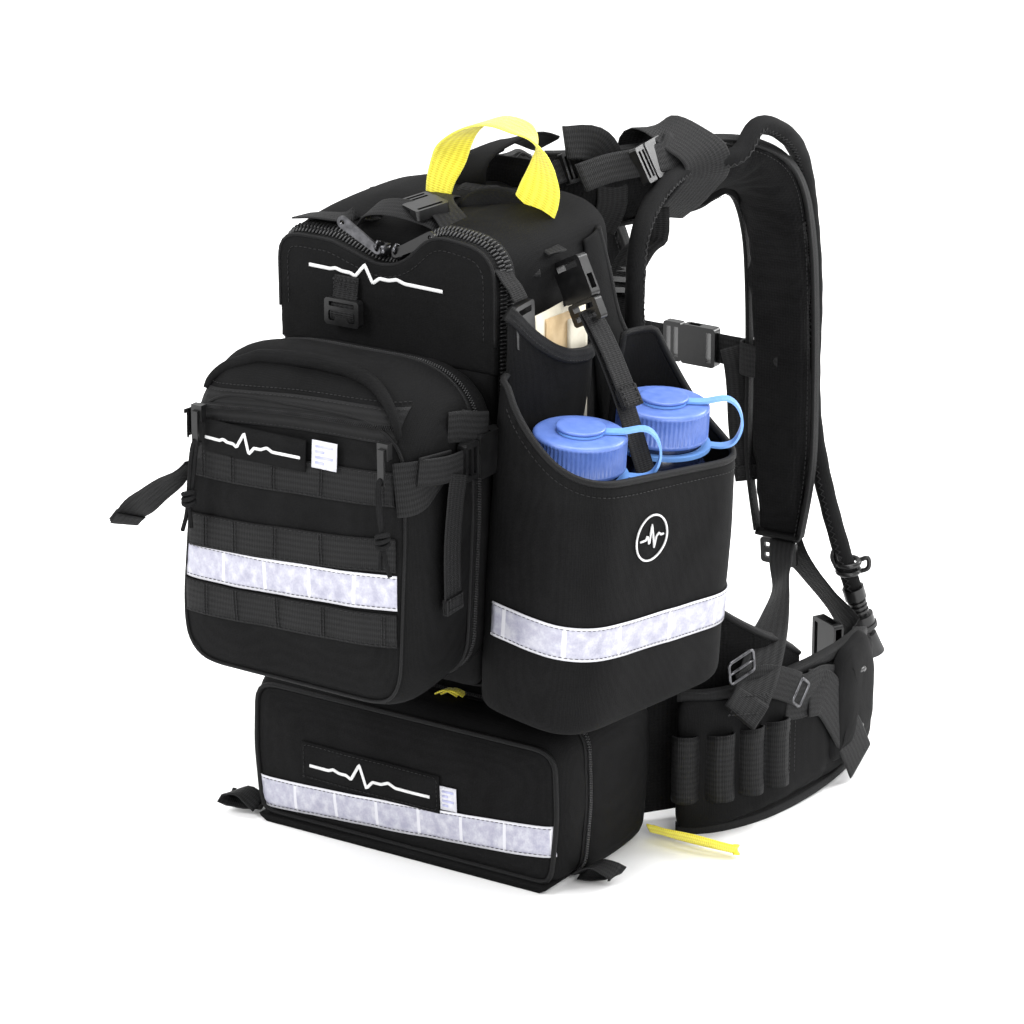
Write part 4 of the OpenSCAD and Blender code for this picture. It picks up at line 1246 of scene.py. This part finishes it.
right_pad = Guide(PAD_LINE, PAD_WIDE, PAD_W)
left_pad = Guide([p - UP * 38 * s for p, s in zip(PAD_LINE, PAD_SAG)], PAD_WIDE, PAD_W, True)
WING_TALL = [112 * h for h in (1, 1, 1, .98, .94, .86, .6)]
wing_right = Guide(WING_LINE, [UP] * 7, WING_TALL)
wing_left = Guide(WING_LINE, [UP] * 7, WING_TALL, True)
for g in (wing_right, wing_left):
    g.p[:, 2] += 57


def pad_shape(guide, seed):
    """A shoulder pad's sewn edges, and the folds across it where it bends."""
    chest = guide.s[-1]

    def shape(q):
        s, u, _ = guide.locate(q)
        off = groove(abs(u) - 0.80, 0.05, 1.5)
        for place, lean, side in ((chest - 150, 4, 0.35), (chest - 195, 5, 0.2), (chest - 262, 10, 0.0),
                                  (chest - 278, 14, 0.1), (chest - 296, 16, 0.2)):
            off += groove(s - place - lean * u, 3.2, 1.7) * exp(-((u - side) / 0.5) ** 2)
        return off + crease(q, 36, seed) * 0.7

    return shape


def wing_shape(guide, seed):
    """A hip wing's sewn edges, and the two seams across it."""
    def shape(q):
        s, u, _ = guide.locate(q)
        off = groove(abs(u) - 0.88, 0.05, 1.4) + groove(s - 150, 2.5, 1.2) + groove(s - 60, 2.5, 0.8)
        return off + crease(q, 40, seed) * 1.0

    return shape


def panel_shape(seed, channels):
    """A flat panel with sewn channels at those heights."""
    def shape(q):
        off = crease(q, 44, seed) * 0.8
        for z in channels:
            off += groove(q[2] - z, 3.5, 2.0)
        return off

    return shape


puff("chest_pad_right", "shoulder_pad_right", "root", KNIT, "mesh_pad", 5, 0.8, pad_shape(right_pad, 61))
puff("chest_pad_left", "shoulder_pad_left", "root", KNIT, "mesh_pad", 5, 0.8, pad_shape(left_pad, 63))
puff("hip_wing_right", "belt_wing_right", "belt_wing_right", NYLON, "nylon_cloth", 5, 0.8,
     wing_shape(wing_right, 65), 6.0)
puff("hip_wing_left", "belt_wing_left", "belt_wing_left", NYLON, "nylon_cloth", 5, 0.8,
     wing_shape(wing_left, 67), 6.0)
puff("lumbar_support", "belt_center", "root", KNIT, "mesh_pad", 6, 0.7, panel_shape(69, (45, 90)), 6.0)
puff("back_support", "back_pad", "root", KNIT, "mesh_pad", 6, 0.7, panel_shape(71, ()), 6.0)
puff("yoke_support", "yoke_pad", "root", KNIT, "mesh_pad", 5, 0.7, panel_shape(73, ()))
settle()


def pad_bindings():
    """Bound and stitched edges of the shoulder pads."""
    for side, guide in (("right", right_pad), ("left", left_pad)):
        b = Build()
        for e in (-1, 1):
            path = [guide.at(s, e * 0.97) for s in np.linspace(4, guide.s[-1] - 2, 90)]
            b.band(path,
                   np.array([unit(guide.at(s, 0, 1) - guide.at(s))
                             for s in np.linspace(4, guide.s[-1] - 2, 90)]), 9.5, 3.4)
            for o in (-1, 1):
                b.stitches([guide.at(s, e * 0.86, o * 6.4) for s in np.linspace(8, guide.s[-1] - 6, 120)],
                           [unit(guide.at(s, 0, o) - guide.at(s))
                            for s in np.linspace(8, guide.s[-1] - 6, 120)], 4.2, 2.8, 0.55, 0.0, 1)
        tip = [guide.at(guide.s[-1] - 1, u) for u in np.linspace(-0.97, 0.97, 8)]
        b.band(tip, unit(guide.at(300, 0, 1) - guide.at(300)), 9.5, 3.0)
        piece(b.done("pad_binding_" + side, [BINDING, THREAD]), "root", "webbing")


pad_bindings()

# ---------- hose ----------

HOSE = arr([80, 52, 262], [92, 54, 265], [105, 64, 282], [108, 78, 308], [105, 86, 345], [101, 88, 388],
           [100, 89, 420], [98, 98, 456], [94, 130, 481], [94, 176, 493], [111, 216, 494], [114, 243, 512],
           [119, 278, 498], [113, 314, 467], [106, 342, 411], [104, 354, 351], [103, 355, 290],
           [105, 356, 245], [112, 358, 205], [121, 360, 170], [130, 365, 135], [136, 373, 104])


def hose_sleeve():
    """The drinking hose in its sewn sleeve."""
    path = resample(smooth(HOSE, 6), 5.0)[0]
    b = Build()
    b.tube(path, np.array([7.4 + 0.18 * sin(i * 1.3) for i in range(len(path))]), 20)
    t = tangents(path)
    seam = []
    for i, q in enumerate(resample(smooth(HOSE, 6), 2.6)[0]):
        k = min(int(i * 2.6 / 5.0), len(t) - 1)
        side = unit(np.cross(t[k], vec(0.75, -0.65, 0.2)))
        out = unit(np.cross(side, t[k]) + side * 0.9)
        seam.append(q + out * 7.5 + np.cross(t[k], out) * (1.5 if i % 2 else -1.5))
    b.tube(seam, 0.55, 5, slot=1)
    piece(b.done("hose_sleeve", [SLEEVE, THREAD]), "root", "hose_sleeve", "hydration_hose")


hose_sleeve()


def hose_clip():
    """The clip that holds the hose above its valve."""
    b = Build()
    for k in range(2):
        q = vec(133.5, 369.5, 119.0 + 7 * k)
        ring = [q + 8.6 * vec(cos(a), sin(a), 0.15 * sin(a)) for a in np.linspace(0, 2 * pi, 26)[:-1]]
        b.tube(ring, 2.3, 8, True)
    b.tube(smooth([(126, 364, 121), (123, 361, 131), (127, 359, 139), (131, 360, 130)], 5), 2.0, 8)
    b.tube(smooth([(141, 375, 118), (147, 378, 121), (146, 379, 129), (140, 376, 127)], 5), 2.0, 8)
    piece(b.done("hose_clip", PLASTIC), "root", "buckle_plastic")


hose_clip()

# ---------- buckles ----------


def copy_parts(name, body, nodes, origin, basis, at, axes, size):
    """A copy of CAD parts, moved from their own frame (origin and rows of basis) to another."""
    src, dst = np.array(basis, float), np.array(axes, float)
    verts, faces = [], []
    for node in nodes:
        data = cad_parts[node].data
        base = len(verts)
        for v in data.vertices:
            local = src @ (np.array(v.co) / MM - np.array(origin, float))
            verts.append(np.array(at, float) + dst.T @ (local * size))
        faces += [tuple(base + i for i in f.vertices) for f in data.polygons]
    ob = make(name, verts, faces, PLASTIC, sharp=True)
    modifier(ob, "BEVEL", width=0.5 * MM, segments=2, limit_method="ANGLE")
    return piece(ob, body, "buckle_plastic")


def side_buckle(name, body, at, along, face, size):
    """A copy of the sternum buckle at another place."""
    x = unit(np.array(along, float))
    z = unit(np.array(face, float) - np.dot(face, x) * x)
    copy_parts(name, body, ("sternum_socket", "sternum_plug"), (-10, 348.8, 293),
               [(1, 0, 0), (0, 0, 1), (0, -1, 0)], at, [x, np.cross(z, x), z], size)


def loop_ring(name, body, at, across, down, w, h, r, mat=PLASTIC, slot="buckle_plastic", bar=False):
    """Rectangular ring of round bar."""
    a, d = unit(np.array(across, float)), unit(np.array(down, float))
    line = rounded([(-w / 2, -h / 2, 3), (w / 2, -h / 2, 3), (w / 2, h / 2, 3), (-w / 2, h / 2, 3)], 36)
    b = Build()
    b.tube([np.array(at, float) + a * x + d * y for x, y in line], r, 8, True)
    if bar:
        b.tube([np.array(at, float) + a * x for x in np.linspace(-w / 2, w / 2, 5)], r * 0.9, 8)
    piece(b.done(name, mat), body, slot)

# ---------- straps of the harness ----------


def harness_straps():
    """Load lifters, adjusters and the straps down to the belt."""
    for s, side in SIDES:
        strap("load_lifter_" + side, "root",
              mirrored(s, (74, 156, 462), (76, 152, 440), (77, 130, 434), (78, 108, 417), (79, 84, 375),
                       (81, 68, 332)), vec(0.9 * s, 0.4, 0), 25,
              nodes=("harness_webbing",) if s > 0 else ())
        if s < 0:
            strap("lower_strap_left", "root",
                  mirrored(s, (86, 344, 156), (86, 342, 138), (94, 318, 126), (104, 280, 108),
                           (112, 240, 80), (117, 210, 50)),
                  mirrored(s, (1, 0, 0), (1, 0, 0), (0.6, 0.5, 0), (0.3, 0.8, 0.5), (0.2, 0.6, 0.8),
                           (0.2, 0.5, 0.8)), 25, hem=24)
        strap("adjuster_web_" + side, "root",
              mirrored(s, (84, 347, 168), (90, 349, 140), (104, 354, 118), (124, 362, 92), (150, 348, 78)),
              mirrored(s, (1, 0, 0), (1, 0.1, 0), (0.9, -0.3, 0.4), (0.6, -0.4, 0.7), (0.3, 0.2, 0.9)), 25)
        strap("lifter_anchor_" + side, "root", mirrored(s, (81, 68, 332), (82, 64, 326), (82, 62, 300)),
              vec(0.95 * s, 0.3, 0), 27)

    ob = strap("lower_strap_right", None,
               [(87, 345, 156), (88, 342, 146), (101, 316, 140), (120, 283, 136), (150, 222, 137),
                (180, 158, 138), (193, 124, 126), (199, 100, 113), (198, 84, 101)],
               [(1, 0, 0), (1, 0, 0), (0.8, 0.4, 0.3), (0.1, 0.8, 0.5), (0.25, 0.85, 0.3), (0.45, 0.85, 0),
                (0.5, 0.85, 0), (0.5, 0.85, -0.1), (0.5, 0.85, -0.1)], [22, 22, 20, 20, 24, 28, 30, 30, 30],
               k=5, hem=22)
    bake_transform(ob)


harness_straps()


def yoke_straps():
    """Straps, buckles and rolled webbing round the yoke."""
    strap("shoulder_keeper", "root",
          [(57, 176, 452), (54, 172, 482), (57, 168, 513), (70, 170, 520), (90, 178, 511), (103, 182, 500),
           (104, 184, 486), (96, 183, 474), (84, 182, 460), (72, 180, 449)], vec(0.32, 0.93, 0.0), 46, 1.8,
          k=5)
    side_buckle("shoulder_buckle", "root", (83, 134, 503), (-0.12, 1, 0.02), (0.9, 0.1, 0.45), 0.86)
    strap("shoulder_web", "root", [(60, 76, 500), (70, 98, 504), (80, 118, 505), (82, 131, 505)],
          vec(0.5, -0.1, -0.85), 22)
    strap("shoulder_web_rear", "root", [(84, 138, 504), (88, 156, 505), (84, 172, 512)],
          vec(0.5, -0.1, -0.85), 22)
    side_buckle("yoke_buckle", "root", (38, 104, 500), (0.15, 1, 0), (0.9, -0.15, 0.4), 0.72)
    strap("yoke_web", "root",
          [(30, 66, 496), (34, 84, 499), (38, 104, 500), (44, 132, 506), (46, 146, 512)],
          vec(0.45, -0.1, -0.85), 18, k=5)
    strap("yoke_collar", "root",
          [(36, 92, 520), (50, 112, 517), (56, 122, 500), (58, 124, 470), (52, 118, 450)],
          vec(0.5, 0.85, 0.1), 26, 1.8, k=5)
    b = Build()
    coil = [vec(8, 20 + (13 - a * 0.42) * cos(a), 487 + (13 - a * 0.42) * sin(a))
            for a in np.linspace(0, 15, 70)]
    b.band(coil, (1, 0.25, 0), 26, 1.7)
    piece(b.done("webbing_roll", WEBBING), "root", "webbing")
    strap("yoke_flap", "root", [(-8, 44, 478), (-10, 30, 496), (-4, 36, 516), (12, 66, 526), (26, 84, 520)],
          vec(0.9, -0.2, 0.3), 44, 3.0, k=5, mat=NYLON, slot="nylon_cloth")


yoke_straps()


def sternum_straps():
    """The chest strap on both sides of its buckle."""
    strap("sternum_web_right", "root",
          [(20, 349, 293), (34, 348.6, 293), (56, 349, 293), (80, 350, 293), (112, 349, 292)], UP, 25,
          nodes=("sternum_webbing",))
    strap("sternum_keeper_right", "root", [(86, 331, 293), (52, 334, 293), (50, 346, 293), (86, 350, 293)],
          UP, 27)
    web = strap("sternum_web_left", None,
                [(-27, 349, 293), (-40, 348.4, 293), (-56, 349, 293), (-80, 350, 293), (-112, 349, 292)],
                UP, 25)
    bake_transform(web)
    strap("sternum_tail", "root",
          [(36, 346, 298), (42, 343, 284), (45, 343, 262), (48, 342, 230), (56, 341, 190)],
          vec(0.9, 0.35, 0.1), 22, hem=12)


sternum_straps()

# The bottles' retention strap and its hemmed tail
START = vec(-43.0, 0, 178)
DIP = radians(58)


def on_retention(s, lift):
    """Point at distance s down the retention strap, raised by lift."""
    return in_holster(*(START + vec(cos(DIP) * s + sin(DIP) * lift, 0, -sin(DIP) * s + cos(DIP) * lift)))


WIDE = HOLSTER @ vec(0, 1.0, 0)


def retention_straps():
    """The strap over the bottles, its hemmed tail and its anchors."""
    path = [on_retention(s, l)
            for s, l in ((8, 0), (20, 0.6), (40, 2.5), (70, 3.0), (100, 1.0), (130, -1.5), (146, -3))]
    retention = strap("retention_web", None, path, WIDE, 20, k=6)
    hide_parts("pack_webbing")
    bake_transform(retention)
    strap("retention_tail", "retention_plug",
          [on_retention(s, l) for s, l in ((8, 2.2), (22, 5), (44, 7.5), (66, 8.2), (84, 9))], WIDE, 20,
          hem=15)
    strap("retention_anchor", "root",
          [(104, -24, 474), (97, -23, 476), (92, -22, 477), (84, -21, 479), (70, -20, 482)], vec(0.1, 1, 0),
          20)
    strap("hanging_web", "root",
          [(109, -80, 453), (104, -80, 461), (99, -80, 466), (93, -79, 472), (84, -78, 478)],
          vec(0.1, 1, 0), 16)


retention_straps()


def compression():
    """Compression straps of the front pouch, and its webbing loops."""
    for s, side in SIDES:
        strap("compression_anchor_" + side, "root",
              mirrored(s, (105.6, -108, 351), (103.5, -98, 351), (101.5, -88, 351), (101, -70, 351)), UP,
              20)
        strap("compression_web_" + side, "pouch_front",
              mirrored(s, (99.5, -196, 356), (104, -188, 355), (107, -172, 353), (106.5, -156, 351.5),
                       (105.8, -142, 351)), UP, 20, nodes=("compression_straps",) if s > 0 else ())
        strap("compression_tail_" + side, "pouch_front",
              mirrored(s, (108, -158, 346), (108.5, -163, 328), (107, -165, 296), (105, -162, 262),
                       (104, -160, 244)), vec(0.05 * s, 1, 0.06), 20, hem=13)
        strap("compression_sewn_" + side, "pouch_front",
              mirrored(s, (101.2, -197, 366), (102.6, -176, 364), (102.4, -160, 362)), UP, 3)
    strap("compression_base_right", "pouch_front",
          [(86, -205.5, 343), (94, -199, 344), (99, -190, 346), (100.2, -178, 349), (100.4, -166, 351)],
          [(0, 0, 1)] * 5, [40, 40, 37, 30, 22], 1.6)
    strap("zip_loop_right", "pouch_front",
          [(98.5, -158, 378), (102, -148, 377), (105.5, -134, 373), (106.5, -121, 370),
           (105.2, -118.5, 369.5), (103.8, -122, 370), (102.5, -134, 373), (99.5, -146, 377)], UP, 23, 1.5)
    strap("pouch_tail_left", "pouch_front",
          [(-95, -198, 330), (-106, -202, 317), (-128, -203, 299), (-146, -201, 284), (-158, -199, 272)],
          vec(0.62, -0.3, 0.78), 24, hem=14)


compression()

# ---------- webbing on the top and the flap ----------


def top_webbing():
    """Webbing on the flap and on the top."""
    strap("flap_buckle_web", "main_flap",
          [(-32, -92.5, 452), (-32, -94.2, 440), (-32, -97.5, 432), (-32, -99.5, 425), (-32, -98, 419)],
          vec(1.0, 0, 0), 21, nodes=("flap_tab",))
    b = Build()
    box = [(-42, -94.4, 449), (-22, -94.4, 449), (-22, -94.6, 438), (-42, -94.6, 438), (-42, -94.4, 449)]
    b.stitches(resample(box, 4)[0], (0, -1, 0), 3.2, 2.2, 0.6)
    b.stitches(resample([(-42, -94.4, 449), (-22, -94.6, 438)], 4)[0], (0, -1, 0), 3.2, 2.2, 0.6)
    piece(b.done("flap_tab_stitching", THREAD), "main_flap", "webbing")
    strap("top_tail_left", "root",
          [(-90, -66, 482), (-72, -70, 486), (-56, -66, 486), (-42, -54, 485), (-40, -36, 486)],
          [(0.2, 1, 0), (0.1, 1, 0), (0.4, 0.9, 0), (0.9, 0.4, 0), (1, 0, 0)], 20, hem=12)
    strap("top_loop", "root",
          [(-40, -58, 484), (-30, -60, 495), (-6, -64, 500), (20, -62, 497), (34, -56, 490),
           (38, -46, 485)], vec(0.1, 0.9, 0.35), 22, k=6)
    strap("top_web_front", "root",
          [(60, -78, 478), (52, -70, 487), (38, -60, 496), (22, -50, 501), (10, -38, 502), (0, -20, 500),
           (-6, 4, 494)],
          [(0.7, 0.7, 0), (0.6, 0.75, 0), (0.6, 0.8, 0), (0.6, 0.8, 0), (0.9, 0.5, 0), (1, 0.2, 0),
           (1, 0, 0)], 24, k=6)
    side_buckle("top_buckle", "root", (4, -52, 501), (0.85, -0.5, 0.02), (0, -0.2, 1), 0.8)
    strap("top_web_cross", "root",
          [(86, -50, 480), (72, -42, 488), (50, -33, 491), (30, -26, 492), (8, -16, 492), (-20, -10, 489),
           (-44, -20, 487)], vec(0.2, 1, 0.1), 22, k=5)
    strap("top_anchor_right", "root", [(98, -52, 462), (93, -48, 474), (84, -44, 482), (70, -38, 487)],
          vec(0.2, 1, 0), 22)
    b = Build()
    b.tube(smooth([(16, -18, 485), (26, -6, 493), (42, 2, 495), (58, 4, 490), (68, 2, 483)], 6),
           np.array([5, 7, 9, 10, 11, 11.5, 12, 12, 12, 12, 12, 12, 12, 12, 11.5, 11, 10.5, 10, 9.5, 9, 8,
                     7, 6, 5, 4]), 14)
    piece(b.done("top_roll", NYLON), "root", "nylon_cloth")


top_webbing()

YELLOW_PATH = [[-17, 0, 482], [-16, 0, 490], [-10, 0, 513], [6, 0, 541], [31, 0, 555], [56, 0, 553],
               [72, 0, 538], [74, 0, 512], [64, 0, 487], [62, 0, 480]]
YELLOW_WIDE = [[1, 0, 0], [1, 0, 0], [1, .2, 0], [.4, 1, 0], [0, 1, 0], [-.2, 1, 0], [-1, .9, 0],
               [-1, .2, 0], [-1, 0, 0], [-1, 0, 0]]


def yellow_webbing():
    """The grab handle and the yellow pulls."""
    ob = strap("handle_yellow", "grab_handle", YELLOW_PATH, YELLOW_WIDE,
               [22, 22, 24, 28, 32, 34, 37, 38, 34, 30], 2.0, 8, YELLOW, ("grab_handle",), "yellow_webbing")
    for v in ob.data.vertices:
        q = np.array(v.co) / MM
        v.co += Vector((0.3, 1.0, 0.2)) * (crease(q, 26, 81) * 1.3 * MM)
    strap("handle_tab_left", "root", [(-18, -16, 484), (-17, -6, 487), (-17, 4, 487), (-17, 16, 484)],
          vec(1.0, 0, 0), 26)
    strap("handle_tab_right", "root", [(63, -18, 483), (63, -6, 487), (63, 6, 487), (63, 18, 483)],
          vec(1.0, 0, 0), 40)
    strap("release_yellow", "release_loop",
          [[139, 52, 9], [150, 51, 9.6], [158, 50, 10], [182, 50, 11], [204, 53, 9], [213, 57, 7],
           [206, 59, 5.5], [184, 58, 5.5], [160, 57, 6], [141, 57, 7]], vec(0, -0.5, 0.85), 9.5, 1.5, 6,
          YELLOW, ("release_loop",), "yellow_webbing")
    b = Build()
    for q in ((19, -42, 123), (23, -40, 123)):
        b.band(smooth([(q[0] - 8, q[1] - 3, 123), (q[0], q[1], 127), (q[0] + 9, q[1] + 2, 124)], 5),
               (0.2, 1, 0), 7, 1.4)
    piece(b.done("lumbar_pull_yellow", YELLOW), "root", "yellow_webbing")


yellow_webbing()


def corner_loops():
    """Webbing loops at the lumbar pack's lower corners."""
    for k, (a, c) in enumerate((((-136, -70, 8), (-163, -76, 12)), ((136, -46, 7), (164, -34, 9)))):
        m = (np.array(a) + np.array(c)) / 2.0
        strap("lumbar_corner_loop_%d" % (k + 1), "root",
              [a, m + vec(0, 0, 7), c, m + vec(0, 4, -3.4), np.array(a) + vec(0, 6, -2)],
              vec(0.25, 0.95, 0.0), 20)


corner_loops()

# ---------- hip belt ----------

STEPS = [9, 33.5, 58, 82.5]


def on_wing(s, off, z):
    """Point on the right hip wing: s along it, off its middle, at height z."""
    q = wing_right.at(s)
    near = s if 2 < s < wing_right.s[-1] - 2 else max(s, 3)
    t = unit(wing_right.at(near + 1.5) - wing_right.at(near - 1.5))
    n = vec(t[1], -t[0], 0.0)
    return vec(q[0], q[1], 0) + n * off + UP * z


def elastic_loops():
    """The row of elastic loops on the right hip wing."""
    line = []
    for k, s in enumerate(STEPS):
        for u, o in ((-10.4, 8.2), (-9.2, 9.6), (-8.2, 13), (-5, 17), (0, 18.4), (5, 17), (8.2, 13),
                     (9.2, 9.6), (10.4, 8.2)):
            line.append((s + u, o))
    line += [(96, 8.2), (106, 8.2)]
    b = Build()
    rows = []
    for s, o in resample(line, 1.8)[0]:
        flare = max(0.0, (o - 9) / 9)
        row = []
        for z in np.linspace(30, 82, 10):
            off = o + flare * 1.2 * (1 if z > 76 or z < 36 else 0) + crease((s, o, z), 18, 91) * 0.5
            row.append(on_wing(s, off, z + (2.4 * flare if z > 76 else 0)))
        rows.append(row)
    b.grid(rows, uv=lambda i, j: (j * 0.58, i * 0.18))
    ob = b.done("elastic_loops", WEBBING)
    modifier(ob, "SOLIDIFY", thickness=1.5 * MM, offset=0)
    piece(ob, "belt_wing_right", "webbing", "belt_webbing_right")
    b = Build()
    for s in [STEPS[0] - 12] + [x + 12.2 for x in STEPS]:
        for d in (-1, 1):
            b.stitches([on_wing(max(s + d, 1), 9.0, z) for z in np.linspace(32, 80, 14)],
                       on_wing(50, 1, 0) - on_wing(50, 0, 0), 3.4, 2.2, 0.6)
    for s in np.linspace(98, 104, 2):
        b.stitches([on_wing(s, 9.2, z) for z in np.linspace(34, 92, 16)],
                   on_wing(100, 1, 0) - on_wing(100, 0, 0), 3.6, 2.4, 0.7)
    piece(b.done("belt_stitching", THREAD), "belt_wing_right", "webbing")


elastic_loops()

for s, side, guide in ((1, "right", wing_right), (-1, "left", wing_left)):
    f = vec(s, 1, 1)
    b = Build()
    for e in (-1, 1):
        b.band([guide.at(x, e * 0.965) for x in np.linspace(3, guide.s[-1] - 3, 70)],
               [unit(guide.at(x, 0, 1) - guide.at(x)) for x in np.linspace(3, guide.s[-1] - 3, 70)], 11,
               7.0)
    b.band([guide.at(guide.s[-1] - 3.0, u) for u in np.linspace(-0.96, 0.96, 12)],
           unit(guide.at(300, 0, 1) - guide.at(300)), 11, 6.0)
    piece(b.done("wing_binding_" + side, BINDING), "belt_wing_" + side, "webbing")
    # Inner pad: its curved top edge runs from the lumbar support down to the wing
    rows = []
    spine = smooth([(112, 66, 218, 8), (122, 74, 201, 8), (136, 90, 187, 9), (152, 108, 176, 10),
                    (172, 122, 160, 12), (186, 140, 146, 14), (188, 166, 132, 14), (188, 192, 116, 16)], 5)
    for x, y, top, low in [tuple(c) for c in spine]:
        rows.append([vec(x - 6 + crease((x, y, z), 34, 95) * 1.2, y + 4, z) * f
                     for z in np.linspace(low, top, 14)])
    b = Build()
    b.grid(rows if s > 0 else rows[::-1])
    ob = b.done("hip_inner_pad_" + side, KNIT)
    modifier(ob, "SOLIDIFY", thickness=9 * MM, offset=0)
    modifier(ob, "BEVEL", width=2.5 * MM, segments=3, limit_method="ANGLE", angle_limit=1.0)
    soften(ob)
    freeze(ob)
    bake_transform(ob)
    b = Build()
    b.band([r[-1] + UP * 0.5 for r in rows], (0.75 * s, -0.65, 0), 12, 4)
    ob = b.done("hip_pad_binding_" + side, BINDING)
    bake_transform(ob)
strap("belt_tail", "belt_wing_right",
      [(206, 176, 92), (209, 196, 86), (210.5, 214, 66), (212, 234, 38), (213, 250, 12)], vec(0, 1, 0.62),
      37, 1.8, k=6)
strap("belt_cross_web", "belt_wing_right",
      [(202, 150, 96), (206, 170, 92), (207, 190, 92), (206, 215, 84), (203, 240, 78), (199, 262, 72)], UP,
      36, 1.8, k=5)
loop_ring("belt_d_ring", "belt_wing_right", (206, 163, 97), (0.1, 0.6, 0.8), (0, 0.8, -0.6), 20, 14, 1.5,
          METAL, "pull_metal")
loop_ring("belt_tri_glide", "belt_wing_right", (193, 95, 137), (0.2, 0.9, 0.2), (0, -0.2, 1), 27, 18, 1.3,
          METAL, "pull_metal", True)
strap("glide_web", "belt_wing_right", [(188, 100, 116), (196, 116, 119), (201, 134, 114), (206, 158, 102)],
      vec(0, 0.15, 1), 26, 1.8)
strap("tip_loop_web", "belt_wing_right",
      [(203, 243, 90), (207, 243, 82), (208, 243, 62), (207, 243, 40), (202, 243, 32)], vec(0.05, 1, 0), 22)
loop_ring("tip_bar_top", "belt_wing_right", (207, 243, 84), (0.05, 1, 0), (0.6, 0, 0.8), 30, 9, 2.2)
loop_ring("tip_bar_bottom", "belt_wing_right", (207, 243, 37), (0.05, 1, 0), (0.6, 0, 0.8), 30, 8, 1.8)


def tip_pockets():
    """Small pockets on the hip wings' tips."""
    tip = rounded([(204, 20, 16), (292, 26, 30), (300, 70, 40), (270, 118, 30), (216, 112, 24)], 70)
    for s, side in SIDES:
        rows = []
        for inset, off in ((0, 7.0), (0.6, 10.5), (3, 13), (8, 14.5), (16, 15.5), (26, 16)):
            row = []
            for y, z in offset(tip, inset):
                x = float(np.interp(y, [180, 235, 285, 322], [197, 198, 190, 170]))
                row.append(vec((x + off + crease((0, y, z), 26, 97 + inset) * 0.8) * s, y, z))
            rows.append(row)
        b = Build()
        b.grid(rows if s > 0 else [r[::-1] for r in rows], True)
        b.close_last(len(tip))
        ob = b.done("tip_pocket_" + side, NYLON)
        soften(ob)
        piece(ob, "belt_wing_" + side, "nylon_cloth")


tip_pockets()

# ---------- pull cords ----------

for s, side in ((-1, "left"), (1, "right")):
    base = vec(80.0 * s, -212.8, 372)
    strand = [base + np.array(q, float)
              for q in ((0, -1.2, -20), (0.4 * s, -3.2, -23), (1.2 * s, -4.6, -32), (2.4 * s, -5.0, -44),
                        (3.6 * s, -5.0, -56), (4 * s, -5, -63), (5 * s, -5, -70), (7 * s, -5, -79),
                        (10 * s, -5, -88))]
    pts = np.array(smooth(strand, 3))
    pts = resample(pts, 3.2)[0]
    curve = bpy.data.curves.new("pull_cord_run_" + side, "CURVE")
    curve.dimensions = "3D"
    spline = curve.splines.new("POLY")
    spline.points.add(len(pts) - 1)
    for point, q in zip(spline.points, pts):
        point.co = (*(q * MM), 1)
    curve.bevel_depth = 1.6 * MM
    curve.bevel_resolution = 3
    curve.use_fill_caps = True
    curve.materials.append(CORD)
    run = bpy.data.objects.new("pull_cord_run_" + side, curve)
    scene.collection.objects.link(run)
    b = Build()
    b.tube(smooth([base + np.array(q, float)
                   for q in ((0, 0.4, -19), (-1.8 * s, -1.6, -23), (-1.4 * s, -3, -32), (0, -3.4, -44),
                             (1.6 * s, -3.6, -54), (3 * s, -4, -60))], 4), 1.6, 8)
    b.tube(smooth([base + np.array(q, float)
                   for q in ((4 * s, -5, -66), (2.4 * s, -5.4, -74), (1.6 * s, -5.6, -84))], 4), 1.6, 8)
    knot = base + vec(3.8 * s, -4.8, -62)
    for turn in range(3):
        b.tube([knot + vec(4.0 * cos(a), 3.4 * sin(a), 3.2 * (turn - 1) + 1.6 * sin(a + turn))
                for a in np.linspace(0, 2 * pi, 20)[:-1]], 1.9, 8, True)
    tie = b.done("pull_cord_knot_" + side, CORD)
    body = "pouch_slider_" + side
    piece(tie, body, "pull_cord")
    piece(run, body, "pull_cord", "pull_cord_" + side)
    length = float(np.sum(norm(np.diff(pts, axis=0), axis=1))) * MM

# ---------- CAD parts that keep their own shape ----------

FINISH = {"frame_sheet": SHEET, "frame_stays": STAY, "reservoir": FILM, "main_pull_left": METAL,
          "bottle_front": BODY, "bottle_rear": BODY, "tether_front": TETHER, "tether_rear": TETHER,
          "valve_lever": RUBBER, "dust_cap": RUBBER}
MOULDED = ("strap_adjusters", "valve_body", "buckle_sockets", "flap_buckle", "main_pull_right",
           "compression_plugs", "pouch_slider_left", "pouch_slider_right", "retention_plug",
           "sternum_socket", "sternum_plug", "belt_socket", "belt_plug", "hanging_buckle")
FINISH.update({node: PLASTIC for node in MOULDED})
for node, mat in FINISH.items():
    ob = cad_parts[node]
    if not ob.material_slots:
        ob.data.materials.append(mat)
    for spot in ob.material_slots:
        spot.material = mat
    width, segments = (3.0, 3) if node == "reservoir" else (0.45, 2)
    modifier(ob, "BEVEL", width=width * MM, segments=segments, limit_method="ANGLE", angle_limit=0.6)
